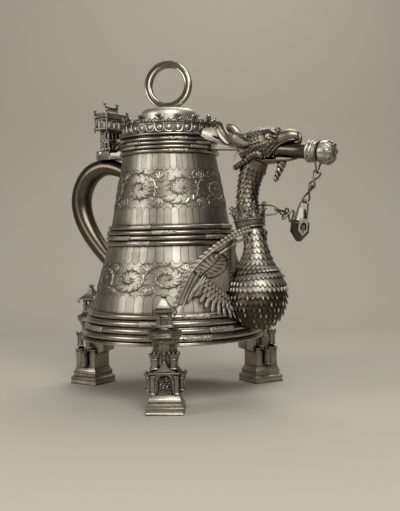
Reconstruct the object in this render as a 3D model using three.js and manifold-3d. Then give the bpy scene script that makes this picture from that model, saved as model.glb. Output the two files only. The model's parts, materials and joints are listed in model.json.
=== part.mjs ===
// A covered wine carafe in the form of a banded stone tower. Three gate towers carry it, a dragon's
// neck is its spout, and its lid turns with a small tower that stands over the handle.
// Millimetres, +Z up. The vessel's axis is the working axis: +X runs to the spout, -X to the handle.
import * as THREE from 'three';
import { mergeVertices } from 'three/addons/utils/BufferGeometryUtils.js';
import Module from 'manifold-3d';

const wasm = await Module();
wasm.setup();

// Clearances
const seatGap = 0.3;
const linkGap = 0.8;
const runningGap = 0.35;

// Vessel
const baseHeight = 70.4;
const wallThickness = 2;
const basePlateThickness = 2.6;
const wallBottomRadius = 109;
const lowerTierTop = 184;
const lowerTierTopRadius = 79;
const upperTierBottom = 209;
const upperTierBottomRadius = 74.1;
const upperTierTop = 295;
const upperTierTopRadius = 58.5;
const rimBandHeight = 19.5;
const mouthHeight = upperTierTop + rimBandHeight + 1.5;
const mouthRadius = 57.6;
const roundSides = 24;
const winePortHeight = 116;
const winePortRadius = 7;

// Ribbed bands round the vessel
const baseBandTop = baseHeight + 36.1;
const flangeHeight = 1.8;
const flangeRadius = 114.1;
const baseRibFoot = baseHeight + flangeHeight + 1.8;
const baseRibProud = 2.2;
const baseBandLandLow = 2.4;
const baseBandLandHigh = 0.9;
const middleBandLow = lowerTierTop - 0.2;
const middleBandHigh = upperTierBottom + 0.2;
const rimBandLow = upperTierTop;
const rimBandHigh = rimBandLow + rimBandHeight;
const ribProud = 1.5;
const bandLand = 1.2;
const ribsPerBand = 4;

// Gate-tower feet
const footCircleRadius = 130.1;
const footAngles = [180, -60, 60];
const plinthWidth = 42.8;
const plinthStepHeight = 10.6;
const upperStepWidth = 36;
const gateWidth = 31;
const gateTop = 46;
const gateNicheWidth = 14;
const gateNicheDepth = 2.4;
const gateNicheBottom = 25;
const gateNicheSpring = 35;
const gableHeight = 14;
const gableDepth = 4;
const pinnacleTop = gateTop + 23;
const bracketReach = 12;
const bracketDepth = 14;
const sideTurretRadius = 5;
const sideTurretHigh = gateTop - 1;
const sideTurretLow = sideTurretHigh - 20;
const towerShaftRadius = 13;
const bartizanRadius = 5.4;
const bartizanLow = gateTop + 3;
const bartizanHigh = bartizanLow + 20;
const deckLow = baseHeight + 9.6;
const deckHigh = deckLow + 14.5;
const deckWidth = 38;
const lanternWidth = 17;
const lanternTop = deckHigh + 17.5;
const roofEaves = 24;
const roofApex = lanternTop + 15;
const roofFinialTop = roofApex + 5.5;
const lanternWindowWidth = 7;

// Handle
const handleSides = 12;

// Hinge bracket, pin and the tower over the handle
const hingeX = -97;
const hingeZ = mouthHeight - 12;
const pinRadius = 1.6;
const pinHeadRadius = 2.6;
const pinHeadLength = 1.4;
const knuckleRadius = 4.2;
const bracketBack = -103.5;
const bracketFront = -82;
const bracketBottom = hingeZ - 8.4;
const bracketTop = hingeZ + 3;
const bracketFloor = 2.4;
const bracketWall = 1.6;
const shaftBack = -97.5;
const shaftFront = -84;
const shaftHalfWidth = 15;
const shaftFoot = hingeZ + 4.8;
const shaftTop = shaftFoot + 23.8;
const galleryBack = -102;
const galleryFront = -80;
const galleryHalfWidth = 23.5;
const galleryTop = shaftTop + 19.4;
const galleryWall = 2;
const galleryPost = 3;
const cornerPostTop = galleryTop + 9;
const cornerBallRadius = 1.9;
const thumbPostSpread = 13;
const thumbBarHeight = galleryTop + 14;
const thumbPostTop = thumbBarHeight + 4.5;
const stringCourseLow = shaftFoot + 10.2;
const stringCourseHeight = 2.4;
const stringCourseProud = 0.9;
const armHalfWidth = 6;

// Lid
const lidRadius = 61.4;
const lidThickness = 3;
const lidBezelRadius = 53.5;
const lidBezelDepth = 3;
const lidBezelWall = 2;
const crestRadius = 58.4;
const crestThickness = 1.8;
const crestLean = 1.2;
const crestRise = 23.4;
const crestPeriods = 16;
const bossRadius = 36;
const bossRise = 34.7;
const bossWall = 2;
const ringOuterRadius = 29.5;
const ringSection = 8.4;
const ringStemRadius = 2.4;
const ringStemHeadRadius = 4.4;
const ringStemHeadHeight = 1.6;
const ringTurn = 16;

// Dragon
const neckChannelRadius = 5;
const crownRingLow = 202;
const crownRingHigh = 212.5;
const crownRingRadius = 17;
const crownX = 114.8;
const crownLeafTop = 236;
const crownLeafRadius = 23;
const crownLeaves = 8;
const crownWall = 1.8;
const eyeRadius = 3.1;

// Pouring pipe, stopper and its strap
const pipeX = 150;
const pipeZ = 294.5;
const pipeSlope = 7;
const pipeRadius = 8.25;
const pipeBoreRadius = 5.6;
const pipeRoot = -14;
const pipeEnd = 55;
const stopperStart = 40.3;
const stopperSeat = 55.6;
const stopperEnd = 73.2;
const stopperRadius = 14;
const stopperGrooveAt = 54.3;
const stopperGrooveRadius = 11.2;
const stopperCollarRadius = 12.6;
const stopperButtonRadius = 2.6;
const stopperButtonEnd = 75.4;
const strapWire = 1.8;
const strapDrop = 24.2;

// Chains and padlock
const linkWire = 2;
const linkWidth = 8.4;
const linkCrossing = 1.5;
const shackleX = 186.5;
const shackleZ = 234;
const shackleCrownRadius = 5.2;
const padlockTopX = 181.8;
const padlockTopZ = 225.2;
const padlockFootX = 176.6;
const padlockFootZ = 187;
const padlockGirth = 10.2;
const padlockSides = 6;
const shackleWidth = 14.4;
const shackleWire = 2;
const collarStapleZ = 225;
const collarStapleEnd = 151;
const collarLinkWidth = 7.4;

// A closed body through rings of points. Open ends are capped, closed runs join up with themselves.
function loft(rings, closed = false) {
  const sides = rings[0].length;
  const points = rings.flat();
  const index = [];
  const spans = closed ? rings.length : rings.length - 1;
  for (let ring = 0; ring < spans; ring += 1) {
    const next = (ring + 1) % rings.length;
    for (let side = 0; side < sides; side += 1) {
      const a = ring * sides + side;
      const b = ring * sides + (side + 1) % sides;
      const c = next * sides + side;
      const d = next * sides + (side + 1) % sides;
      index.push(a, b, d, a, d, c);
    }
  }
  if (!closed) {
    capRing(points, index, 0, sides, true);
    capRing(points, index, (rings.length - 1) * sides, sides, false);
  }
  const geometry = new THREE.BufferGeometry().setFromPoints(points);
  geometry.setIndex(index);
  return outward(geometry);
}

// A fan of triangles from a ring's middle.
function capRing(points, index, first, sides, start) {
  const middle = new THREE.Vector3();
  for (let side = 0; side < sides; side += 1) middle.add(points[first + side]);
  points.push(middle.divideScalar(sides));
  const centre = points.length - 1;
  for (let side = 0; side < sides; side += 1) {
    const a = first + side;
    const b = first + (side + 1) % sides;
    index.push(centre, ...(start ? [b, a] : [a, b]));
  }
}

// Merges shared vertices and turns the faces to point out.
function outward(source) {
  const geometry = source.clone();
  geometry.deleteAttribute('normal');
  geometry.deleteAttribute('uv');
  const merged = mergeVertices(geometry, 1e-4);
  if (signedVolume(merged) < 0) {
    const index = merged.index.array;
    for (let i = 0; i < index.length; i += 3) [index[i], index[i + 1]] = [index[i + 1], index[i]];
  }
  return merged;
}

function signedVolume(geometry) {
  const position = geometry.attributes.position;
  const index = geometry.index.array;
  const [a, b, c] = [new THREE.Vector3(), new THREE.Vector3(), new THREE.Vector3()];
  let volume = 0;
  for (let i = 0; i < index.length; i += 3) {
    a.fromBufferAttribute(position, index[i]);
    b.fromBufferAttribute(position, index[i + 1]);
    c.fromBufferAttribute(position, index[i + 2]);
    volume += a.dot(b.cross(c)) / 6;
  }
  return volume;
}

function toSolid(geometry) {
  const closed = outward(geometry);
  return new wasm.Manifold(new wasm.Mesh({
    numProp: 3,
    vertProperties: new Float32Array(closed.attributes.position.array),
    triVerts: new Uint32Array(closed.index.array),
  }));
}

function toGeometry(body) {
  const mesh = body.getMesh();
  const geometry = new THREE.BufferGeometry();
  geometry.setAttribute('position', new THREE.BufferAttribute(new Float32Array(mesh.vertProperties), 3));
  geometry.setIndex(new THREE.BufferAttribute(new Uint32Array(mesh.triVerts), 1));
  return geometry;
}

function join(...geometries) {
  return toGeometry(geometries.map(toSolid).reduce((whole, next) => whole.add(next)));
}

function cut(geometry, ...tools) {
  return toGeometry(tools.map(toSolid).reduce((whole, tool) => whole.subtract(tool), toSolid(geometry)));
}

// A profile of [radius, height] pairs turned about Z. Few sides give square or eight-sided towers,
// whose radius is then measured to the flats.
function turned(profile, sides = roundSides, toFlats = sides <= 8) {
  const scale = toFlats ? 1 / Math.cos(Math.PI / sides) : 1;
  const closes = profile[0][0] < 1e-6 && profile.at(-1)[0] < 1e-6;
  const outline = profile.map(([radius, height]) => new THREE.Vector2(radius * scale, height));
  if (!closes) outline.push(outline[0].clone());
  const geometry = new THREE.LatheGeometry(outline, sides, Math.PI / sides);
  geometry.rotateX(Math.PI / 2);
  return outward(geometry);
}

function box(x0, x1, y0, y1, z0, z1) {
  const geometry = new THREE.BoxGeometry(x1 - x0, y1 - y0, z1 - z0);
  geometry.translate((x0 + x1) / 2, (y0 + y1) / 2, (z0 + z1) / 2);
  return outward(geometry);
}

// An outline in X and Z, given as a shape, with thickness along Y from y0 to y1.
function slab(shape, y0, y1, curveSegments = 4) {
  const geometry = new THREE.ExtrudeGeometry(shape, { depth: y1 - y0, bevelEnabled: false, curveSegments });
  geometry.rotateX(Math.PI / 2);
  geometry.translate(0, y1, 0);
  return outward(geometry);
}

function shapeOf(points) {
  return new THREE.Shape(points.map(([x, y]) => new THREE.Vector2(x, y)));
}

// A cylinder between two points.
function rod(from, to, radius, sides = 10) {
  const axis = to.clone().sub(from);
  const geometry = new THREE.CylinderGeometry(radius, radius, axis.length(), sides);
  geometry.applyQuaternion(new THREE.Quaternion().setFromUnitVectors(
    new THREE.Vector3(0, 1, 0), axis.clone().normalize()));
  const middle = from.clone().add(to).multiplyScalar(0.5);
  geometry.translate(middle.x, middle.y, middle.z);
  return outward(geometry);
}

function ball(at, radius, sides = 8) {
  const geometry = new THREE.SphereGeometry(radius, sides, Math.max(4, sides / 2));
  geometry.translate(at.x, at.y, at.z);
  return outward(geometry);
}

// Wire of one radius along a closed curve.
function closedWire(curve, radius, { steps, sides = 5 }) {
  const frames = curve.computeFrenetFrames(steps, true);
  const rings = [];
  for (let step = 0; step < steps; step += 1) {
    const centre = curve.getPointAt(step / steps);
    rings.push(ringOf(centre, frames.normals[step], frames.binormals[step], radius, radius, sides));
  }
  return loft(rings, true);
}

function ringOf(centre, u, v, radiusU, radiusV, sides) {
  return Array.from({ length: sides }, (_, side) => {
    const angle = (side / sides) * Math.PI * 2;
    return centre.clone()
      .addScaledVector(u, radiusU * Math.cos(angle))
      .addScaledVector(v, radiusV * Math.sin(angle));
  });
}

// A limb whose middle line lies in the XZ plane. Each station is [x, z, half height, half width];
// the sections stand square to the line, with the half width along Y.
function limb(stations, sides, y = 0) {
  const centres = stations.map(([x, z]) => new THREE.Vector3(x, y, z));
  const across = new THREE.Vector3(0, 1, 0);
  const rings = centres.map((centre, i) => {
    const before = centres[Math.max(0, i - 1)];
    const after = centres[Math.min(centres.length - 1, i + 1)];
    const along = after.clone().sub(before).normalize();
    const normal = new THREE.Vector3().crossVectors(across, along);
    const [, , high, wide = high] = stations[i];
    return ringOf(centre, normal, across, high, wide, sides);
  });
  return loft(rings);
}

// A round wall whose lower and upper edges rise and fall, as the cresting of a crown does. Columns
// are [share of the period, lower edge, upper edge]; the wall leans from one radius to the other.
function crownOf({ periods, columns, lowRadius, highRadius, low, high, thickness }) {
  const rings = [];
  for (let period = 0; period < periods; period += 1) {
    for (const [share, bottom, top] of columns) {
      const angle = ((period + share) / periods) * Math.PI * 2;
      const radiusAt = (z) => lowRadius + (highRadius - lowRadius) * (z - low) / (high - low);
      const point = (radius, z) => new THREE.Vector3(radius * Math.cos(angle), radius * Math.sin(angle), z);
      rings.push([
        point(radiusAt(bottom), bottom),
        point(radiusAt(top), top),
        point(radiusAt(top) - thickness, top),
        point(radiusAt(bottom) - thickness, bottom),
      ]);
    }
  }
  return loft(rings, true);
}

const finishes = {
  silver: new THREE.MeshStandardMaterial({ color: '#b9ac93', roughness: 0.3, metalness: 1 }),
  cast: new THREE.MeshStandardMaterial({ color: '#a2957c', roughness: 0.42, metalness: 1 }),
  dark: new THREE.MeshStandardMaterial({ color: '#6f6656', roughness: 0.4, metalness: 1 }),
};

const carafe = new THREE.Group();

function piece(parent, name, geometry, finish) {
  const mesh = new THREE.Mesh(geometry, finish);
  mesh.name = name;
  parent.add(mesh);
  return mesh;
}

// Vessel: two straight tiers, with the step between them under the middle band
const wallBottom = baseHeight + basePlateThickness + seatGap;
const wallLine = [
  [wallBottomRadius, wallBottom],
  [lowerTierTopRadius, lowerTierTop],
  [upperTierBottomRadius, upperTierBottom],
  [upperTierTopRadius, upperTierTop],
  [mouthRadius, mouthHeight],
];

function wallRadius(z) {
  for (let i = 1; i < wallLine.length; i += 1) {
    const [[r0, z0], [r1, z1]] = [wallLine[i - 1], wallLine[i]];
    if (z <= z1 || i === wallLine.length - 1) return r0 + (r1 - r0) * (z - z0) / (z1 - z0);
  }
  return mouthRadius;
}

function vesselEnvelope(extra) {
  const line = wallLine.map(([radius, z]) => [radius + extra, z]);
  return turned([[0, wallBottom - extra], ...line, [0, mouthHeight]]);
}

const winePort = rod(
  new THREE.Vector3(wallRadius(winePortHeight) - 12, 0, winePortHeight),
  new THREE.Vector3(wallRadius(winePortHeight) + 12, 0, winePortHeight),
  winePortRadius, 12);
const wallInside = wallLine.map(([radius, z]) => [radius - wallThickness, z]).reverse();
piece(carafe, 'vessel_wall', cut(turned([...wallLine, ...wallInside]), winePort), finishes.silver);
piece(carafe, 'base_plate', turned([
  [0, baseHeight], [wallBottomRadius, baseHeight],
  [wallBottomRadius, baseHeight + basePlateThickness], [0, baseHeight + basePlateThickness],
]), finishes.silver);

// Ribbed bands: half-round ribs side by side over a band that follows the wall
function ribbedOutline(low, high, landLow, landHigh, proud) {
  const pitch = (high - low) / ribsPerBand;
  const landAt = (z) => wallRadius(z) + seatGap + landLow + (landHigh - landLow) * (z - low) / (high - low);
  const outline = [];
  for (let rib = 0; rib < ribsPerBand; rib += 1) {
    const z = low + rib * pitch;
    outline.push([landAt(z), z]);
    outline.push([landAt(z + pitch * 0.3) + proud, z + pitch * 0.3]);
    outline.push([landAt(z + pitch * 0.7) + proud, z + pitch * 0.7]);
  }
  outline.push([landAt(high), high]);
  return outline;
}

function bandBore(z) {
  return [wallRadius(z) + seatGap, z];
}

const baseBand = turned([
  [wallBottomRadius + seatGap, baseHeight],
  [flangeRadius, baseHeight],
  [flangeRadius, baseHeight + flangeHeight],
  ...ribbedOutline(baseRibFoot, baseBandTop, baseBandLandLow, baseBandLandHigh, baseRibProud),
  bandBore(baseBandTop),
  [wallBottomRadius + seatGap, wallBottom],
]);
piece(carafe, 'base_band', baseBand, finishes.silver);
const middleBand = turned([
  ...ribbedOutline(middleBandLow, middleBandHigh, bandLand, bandLand, ribProud),
  bandBore(middleBandHigh),
  bandBore(upperTierBottom),
  bandBore(lowerTierTop),
]);
piece(carafe, 'middle_band', middleBand, finishes.silver);
const rimBand = turned([
  ...ribbedOutline(rimBandLow, rimBandHigh, bandLand, bandLand, ribProud),
  bandBore(rimBandHigh),
  bandBore(rimBandLow),
]);
piece(carafe, 'rim_band', rimBand, finishes.silver);
const rimOuterRadius = wallRadius(rimBandLow) + seatGap + bandLand + ribProud;

// Solid room taken by the vessel and its bands, for pieces that are fitted against them
const fittedAgainst = join(
  vesselEnvelope(seatGap),
  turned([[0, baseHeight - seatGap], [flangeRadius + seatGap, baseHeight - seatGap],
    [flangeRadius + seatGap, baseHeight + flangeHeight + seatGap],
    ...ribbedOutline(baseRibFoot, baseBandTop, baseBandLandLow, baseBandLandHigh, baseRibProud)
      .map(([radius, z]) => [radius + seatGap, z + (z > baseRibFoot ? seatGap : 0)]),
    [0, baseBandTop + seatGap]]),
  turned([[0, middleBandLow - seatGap], [lowerTierTopRadius + bandLand + ribProud + 2 * seatGap,
    middleBandLow - seatGap], [upperTierBottomRadius + bandLand + ribProud + 2 * seatGap,
    middleBandHigh + seatGap], [0, middleBandHigh + seatGap]]),
  turned([[0, rimBandLow - seatGap], [rimOuterRadius + seatGap, rimBandLow - seatGap],
    [rimOuterRadius + seatGap, rimBandHigh + seatGap], [0, rimBandHigh + seatGap]]),
);

// Feet: each is a little gate tower on a stepped plinth. X points away from the vessel's axis.
function addFoot(number, degrees) {
  const angle = THREE.MathUtils.degToRad(degrees);
  const placed = new THREE.Matrix4().makeRotationZ(angle)
    .multiply(new THREE.Matrix4().makeTranslation(footCircleRadius, 0, 0));
  const fit = (geometry) => cut(geometry.applyMatrix4(placed), fittedAgainst);
  const plinthTop = 2 * plinthStepHeight;
  const plinth = turned([
    [0, 0], [plinthWidth / 2, 0], [plinthWidth / 2, 3.2], [plinthWidth / 2 - 1.6, 5.4],
    [upperStepWidth / 2 + 1.2, plinthStepHeight], [upperStepWidth / 2, plinthStepHeight],
    [upperStepWidth / 2, plinthStepHeight + 3.4], [gateWidth / 2 + 1, plinthTop], [0, plinthTop],
  ], 4);
  piece(carafe, `foot_${number}_plinth`, plinth.applyMatrix4(placed), finishes.cast);
  piece(carafe, `foot_${number}_gatehouse`, fit(gatehouse(plinthTop + seatGap)), finishes.cast);
  piece(carafe, `foot_${number}_tower`, fit(gateTower()), finishes.cast);
  piece(carafe, `foot_${number}_roof`, fit(gateRoof()), finishes.cast);
}

// The lower block, with its arched gateway, gable, side turrets and the bracket under the flange
function gatehouse(bottom) {
  const half = gateWidth / 2;
  const block = box(-half, half, -half, half, bottom, gateTop);
  const bracket = flangeBracket(0);
  const bracketSlope = slab(shapeOf([
    [-half - bracketReach - 1, gateTop - 7], [-half, gateTop - 7],
    [-half - bracketReach - 1, gateTop + 8],
  ]), -half, half);
  const gable = slab(shapeOf([
    [-half, gateTop - 0.5], [half, gateTop - 0.5], [0, gateTop + gableHeight],
  ]), -gableDepth, 0);
  gable.rotateZ(Math.PI / 2);
  gable.translate(half - gableDepth, 0, 0);
  const pinnacle = turned([
    [0, gateTop + gableHeight - 5], [1.3, gateTop + gableHeight - 5], [1.3, pinnacleTop - 3.6],
    [2.2, pinnacleTop - 2], [0, pinnacleTop],
  ], 6).translate(half - gableDepth / 2, 0, 0);
  const niche = gateNiche().translate(half - gateNicheDepth, 0, 0);
  const turrets = [-1, 1].map((side) => turned([
    [0, bottom], [1.4, bottom], [sideTurretRadius, sideTurretLow + 1],
    [sideTurretRadius, sideTurretHigh - 6], [sideTurretRadius + 1, sideTurretHigh - 4],
    [sideTurretRadius + 1, sideTurretHigh - 1], [0, sideTurretHigh + 1],
  ], 6).translate(0, side * (half + 0.5), 0));
  return cut(join(block, bracket, gable, pinnacle, ...turrets), niche, bracketSlope);
}

// The block behind the tower that reaches in under the flange and carries the vessel
function flangeBracket(extra) {
  const back = -gateWidth / 2 - bracketReach;
  const halfWidth = gateWidth / 2 - 4 + extra;
  return box(back - extra, back + bracketDepth + extra, -halfWidth, halfWidth,
    gateTop - 6, baseHeight - seatGap + extra);
}

// The blind arch of the gateway, as a cutter that leaves the door slab proud inside it
function gateNiche() {
  const half = gateNicheWidth / 2;
  const shape = new THREE.Shape();
  shape.moveTo(-half, gateNicheBottom);
  shape.lineTo(half, gateNicheBottom);
  shape.lineTo(half, gateNicheSpring);
  shape.absarc(0, gateNicheSpring, half, 0, Math.PI, false);
  const niche = slab(shape, -gateNicheDepth - 1, 0, 6);
  return niche.rotateZ(Math.PI / 2);
}

// The eight-sided shaft with two round bartizans, and the parapet walk that juts out above
function gateTower() {
  const foot = gateTop + seatGap;
  const shaft = turned([[0, foot], [towerShaftRadius, foot],
    [towerShaftRadius, deckLow], [0, deckLow]], 8);
  const clearGable = box(gateWidth / 2 - 2 * gableDepth - seatGap, gateWidth, -gateWidth, gateWidth,
    gateTop - 1, gateTop + gableHeight + seatGap);
  const clearPinnacle = box(gateWidth / 2 - gableDepth / 2 - 2.6, gateWidth, -2.6, 2.6,
    gateTop, pinnacleTop + seatGap);
  const bartizans = [-1, 1].map((side) => turned([
    [0, bartizanLow], [bartizanRadius, bartizanLow + 7], [bartizanRadius, bartizanHigh - 5],
    [bartizanRadius + 1, bartizanHigh - 4], [bartizanRadius + 1, bartizanHigh], [0, bartizanHigh + 3],
  ], 6).translate(towerShaftRadius - 3, side * (towerShaftRadius - 3), 0));
  const half = deckWidth / 2;
  const deck = turned([
    [0, deckLow - 4], [towerShaftRadius - 1, deckLow - 4], [half - 1.5, deckLow + 4],
    [half, deckLow + 6], [half, deckLow + 8.6], [lanternWidth / 2 + 2, deckHigh], [0, deckHigh],
  ], 8);
  return cut(join(shaft, ...bartizans, deck), clearGable, clearPinnacle, flangeBracket(seatGap));
}

// The open lantern above the walk, its hipped roof with a hook at each corner, and the finial
function gateRoof() {
  const foot = deckHigh + seatGap;
  const half = lanternWidth / 2;
  const lantern = box(-half, half, -half, half, foot, lanternTop);
  const window = box(-half - 1, half + 1, -lanternWindowWidth / 2, lanternWindowWidth / 2,
    foot + 3, lanternTop - 3);
  const sideWindow = window.clone().rotateZ(Math.PI / 2);
  const roof = turned([
    [0, lanternTop - 0.4], [roofEaves / 2, lanternTop - 0.4], [roofEaves / 2, lanternTop + 1.4],
    [roofEaves / 4, lanternTop + 9], [1.6, roofApex - 3], [1.2, roofApex], [2.4, roofApex + 1.6],
    [1, roofApex + 3.2], [0, roofFinialTop],
  ], 4);
  return join(cut(lantern, window, sideWindow), roof);
}

footAngles.forEach((degrees, i) => addFoot(i + 1, degrees));

// Handle: a heavy hollow-looking arm that swells at its bow and thins to both roots
const handleLine = [
  [-50, 266, 7.6], [-62, 273, 8.2], [-80, 283, 9.5], [-103, 287, 11], [-125, 279, 13],
  [-139, 262, 13.8], [-144, 243, 13.8], [-141, 224, 13.3], [-132, 205, 12.5],
  [-118, 186, 11.5], [-101, 168, 10.5], [-86, 155, 10], [-74, 145, 9.6],
];
const handleSolid = limb(handleLine, handleSides);
piece(carafe, 'handle', cut(handleSolid, fittedAgainst), finishes.silver);
const handleRoom = limb(handleLine.map(([x, z, radius]) => [x, z, radius + seatGap]), handleSides);

// Hinge bracket: an open-backed trough on the crown of the handle, soldered to the rim band
const bracketHalfWidth = shaftHalfWidth + runningGap + bracketWall;
const bracketJoin = -Math.sqrt(rimOuterRadius ** 2 - bracketHalfWidth ** 2) + 3;

function hingeBracket() {
  const outer = box(bracketBack, bracketJoin, -bracketHalfWidth, bracketHalfWidth,
    bracketBottom, bracketTop);
  const inner = box(bracketBack - 1, bracketJoin + 1, -shaftHalfWidth - runningGap,
    shaftHalfWidth + runningGap, bracketBottom + bracketFloor, bracketTop + 1);
  const lowerFront = box(bracketFront, bracketJoin + 1, -bracketHalfWidth - 1, bracketHalfWidth + 1,
    bracketTop - 3.4, bracketTop + 1);
  const bore = rod(new THREE.Vector3(hingeX, -bracketHalfWidth - 1, hingeZ),
    new THREE.Vector3(hingeX, bracketHalfWidth + 1, hingeZ), pinRadius + runningGap / 2, 12);
  const posts = [-1, 1].map((side) => turned([
    [0, bracketBottom], [1.1, bracketBottom], [1.1, bracketTop + 1], [1.6, bracketTop + 2.4],
    [0, bracketTop + 4.4],
  ], 8).translate(bracketFront - 0.6, side * (bracketHalfWidth - bracketWall / 2 + 0.3), 0));
  const trough = cut(outer, inner, lowerFront, bore, handleRoom, fittedAgainst);
  return join(trough, ...posts);
}

piece(carafe, 'hinge_bracket', hingeBracket(), finishes.cast);

function hingePin() {
  const reach = bracketHalfWidth + seatGap;
  const at = (y) => new THREE.Vector3(hingeX, y, hingeZ);
  const shaft = rod(at(-reach - 0.5), at(reach + 0.5), pinRadius, 10);
  const heads = [-1, 1].map((side) => rod(
    at(side * reach), at(side * (reach + pinHeadLength)), pinHeadRadius, 10));
  return join(shaft, ...heads);
}

piece(carafe, 'hinge_pin', hingePin(), finishes.dark);

// Tower over the hinge: its shaft turns on the pin, and its flying arch carries the lid
const lidBottom = mouthHeight + seatGap;
const lidTop = lidBottom + lidThickness;
const crestTop = lidTop + seatGap + crestRise;
const bossTop = lidTop + bossRise;

function towerShaft() {
  const body = box(shaftBack, shaftFront, -shaftHalfWidth, shaftHalfWidth, shaftFoot, shaftTop);
  const knuckle = rod(new THREE.Vector3(hingeX, -shaftHalfWidth, hingeZ),
    new THREE.Vector3(hingeX, shaftHalfWidth, hingeZ), knuckleRadius, 12);
  const web = box(shaftBack, hingeX + knuckleRadius - 0.2, -shaftHalfWidth, shaftHalfWidth,
    hingeZ, shaftFoot + 0.5);
  const proud = stringCourseProud;
  const string = box(shaftBack - proud, shaftFront + proud, -shaftHalfWidth - proud, shaftHalfWidth + proud,
    stringCourseLow, stringCourseLow + stringCourseHeight);
  const bore = rod(new THREE.Vector3(hingeX, -shaftHalfWidth - 1, hingeZ),
    new THREE.Vector3(hingeX, shaftHalfWidth + 1, hingeZ), pinRadius + runningGap / 2, 12);
  const storeys = [shaftFoot + 1.8, stringCourseLow + stringCourseHeight + 1.2];
  const windows = [-8, 0, 8].flatMap((y) => storeys.map((z) => archCutter(y, z, 4.4, 7.4)));
  const sideWindows = storeys.map((z) => box(
    (shaftBack + shaftFront) / 2 - 2, (shaftBack + shaftFront) / 2 + 2,
    -shaftHalfWidth - 2, -shaftHalfWidth + 1.4, z, z + 6.6));
  const farWindows = sideWindows.map((window) => window.clone().scale(1, -1, 1));
  return cut(join(body, knuckle, web, string, lidArch()), bore, ...windows, ...sideWindows, ...farWindows);
}

// A round-headed blind window in the shaft's back face
function archCutter(y, z, width, height) {
  const shape = new THREE.Shape();
  shape.moveTo(-width / 2, z);
  shape.lineTo(width / 2, z);
  shape.lineTo(width / 2, z + height - width / 2);
  shape.absarc(0, z + height - width / 2, width / 2, 0, Math.PI, false);
  const cutter = slab(shape, -3.4, 0, 3);
  cutter.rotateZ(-Math.PI / 2);
  return cutter.translate(shaftBack + 1.4, y, 0);
}

function lidArch() {
  const lidEdge = -lidRadius - seatGap;
  const shape = new THREE.Shape();
  shape.moveTo(shaftFront - 1, shaftFoot + 0.4);
  shape.lineTo(shaftFront + 2, shaftFoot + 0.4);
  shape.quadraticCurveTo(shaftFront + 5, lidBottom + 0.3, lidEdge + 0.2, lidBottom + 0.5);
  shape.lineTo(lidEdge + 3.4, lidTop + seatGap);
  shape.lineTo(lidEdge + 3.4, lidTop + 2.6);
  shape.lineTo(shaftFront - 1, lidTop + 4.6);
  const arch = slab(shape, -armHalfWidth, armHalfWidth, 5);
  const crestRoom = crestRadius + crestLean + seatGap;
  const lidRoom = turned([[0, lidBottom - 5], [lidRadius + seatGap, lidBottom - 5],
    [lidRadius + seatGap, lidTop + seatGap], [crestRoom, lidTop + seatGap],
    [crestRoom, crestTop], [0, crestTop]]);
  return cut(arch, lidRoom);
}

piece(carafe, 'tower_shaft', towerShaft(), finishes.cast);

// Gallery: a walk on a flared sole, an open storey between corner posts, and a battlement
function towerGallery() {
  const foot = shaftTop + seatGap;
  const [x0, x1, y] = [galleryBack, galleryFront, galleryHalfWidth];
  const sole = box(x0, x1, -y, y, foot, foot + 3);
  const roof = box(x0, x1, -y, y, galleryTop - 3, galleryTop);
  const core = box(x0 + 3, x1 - 3, -y + 3, y - 3, foot + 2, galleryTop - 2);
  const room = box(x0 + 3 + galleryWall, x1 - 3 - galleryWall, -y + 3 + galleryWall,
    y - 3 - galleryWall, foot + 3, galleryTop - 1);
  const windows = [-12, -4, 4, 12].map((at) => box(x0 - 1, x1 + 1, at - 2.2, at + 2.2,
    foot + 5, galleryTop - 5));
  const endWindow = box((x0 + x1) / 2 - 3, (x0 + x1) / 2 + 3, -y - 1, y + 1, foot + 5, galleryTop - 5);
  const posts = [];
  for (const x of [x0 + galleryPost / 2, x1 - galleryPost / 2]) {
    for (const side of [-1, 1]) posts.push(cornerPost(x, side * (y - galleryPost / 2), foot));
  }
  const storey = cut(core, room, ...windows, endWindow);
  return join(sole, roof, storey, ...posts);
}

function cornerPost(x, y, foot) {
  const waist = cornerPostTop - 2 * cornerBallRadius;
  return turned([
    [0, foot], [galleryPost / 2, foot], [galleryPost / 2, galleryTop], [0.9, galleryTop + 1],
    [0.9, waist], [cornerBallRadius, waist + 1.2], [cornerBallRadius, cornerPostTop - 1], [0, cornerPostTop],
  ], 6).translate(x, y, 0);
}

piece(carafe, 'tower_gallery', towerGallery(), finishes.cast);

function thumbBar() {
  const x = (galleryBack + galleryFront) / 2;
  const foot = galleryTop + seatGap;
  const posts = [-1, 1].map((side) => turned([
    [0, foot], [2.6, foot], [1.5, foot + 2.4], [1.3, thumbPostTop - 5], [2.2, thumbPostTop - 3.4],
    [2.4, thumbPostTop - 1], [0, thumbPostTop + 1],
  ], 8).translate(x, side * thumbPostSpread, 0));
  const bar = box(x - 1.6, x + 1.6, -thumbPostSpread, thumbPostSpread, thumbBarHeight - 3, thumbBarHeight);
  const arch = slab(shapeOf([[-6, thumbBarHeight - 2.6], [6, thumbBarHeight - 2.6], [0, thumbBarHeight - 6]]),
    -1.2, 1.2).rotateZ(Math.PI / 2).translate(x, 0, 0);
  return join(...posts, bar, arch);
}

piece(carafe, 'thumb_bar', thumbBar(), finishes.cast);

// Lid: a plate with a short bezel inside the mouth, a cresting of cups and leaves, and a domed boss
piece(carafe, 'lid_plate', turned([
  [0, lidBottom], [lidBezelRadius - lidBezelWall, lidBottom],
  [lidBezelRadius - lidBezelWall, lidBottom - lidBezelDepth],
  [lidBezelRadius, lidBottom - lidBezelDepth], [lidBezelRadius, lidBottom],
  [lidRadius - 0.8, lidBottom], [lidRadius, lidBottom + 1], [lidRadius, lidTop - 1],
  [lidRadius - 1, lidTop], [0, lidTop],
]), finishes.silver);

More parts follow.
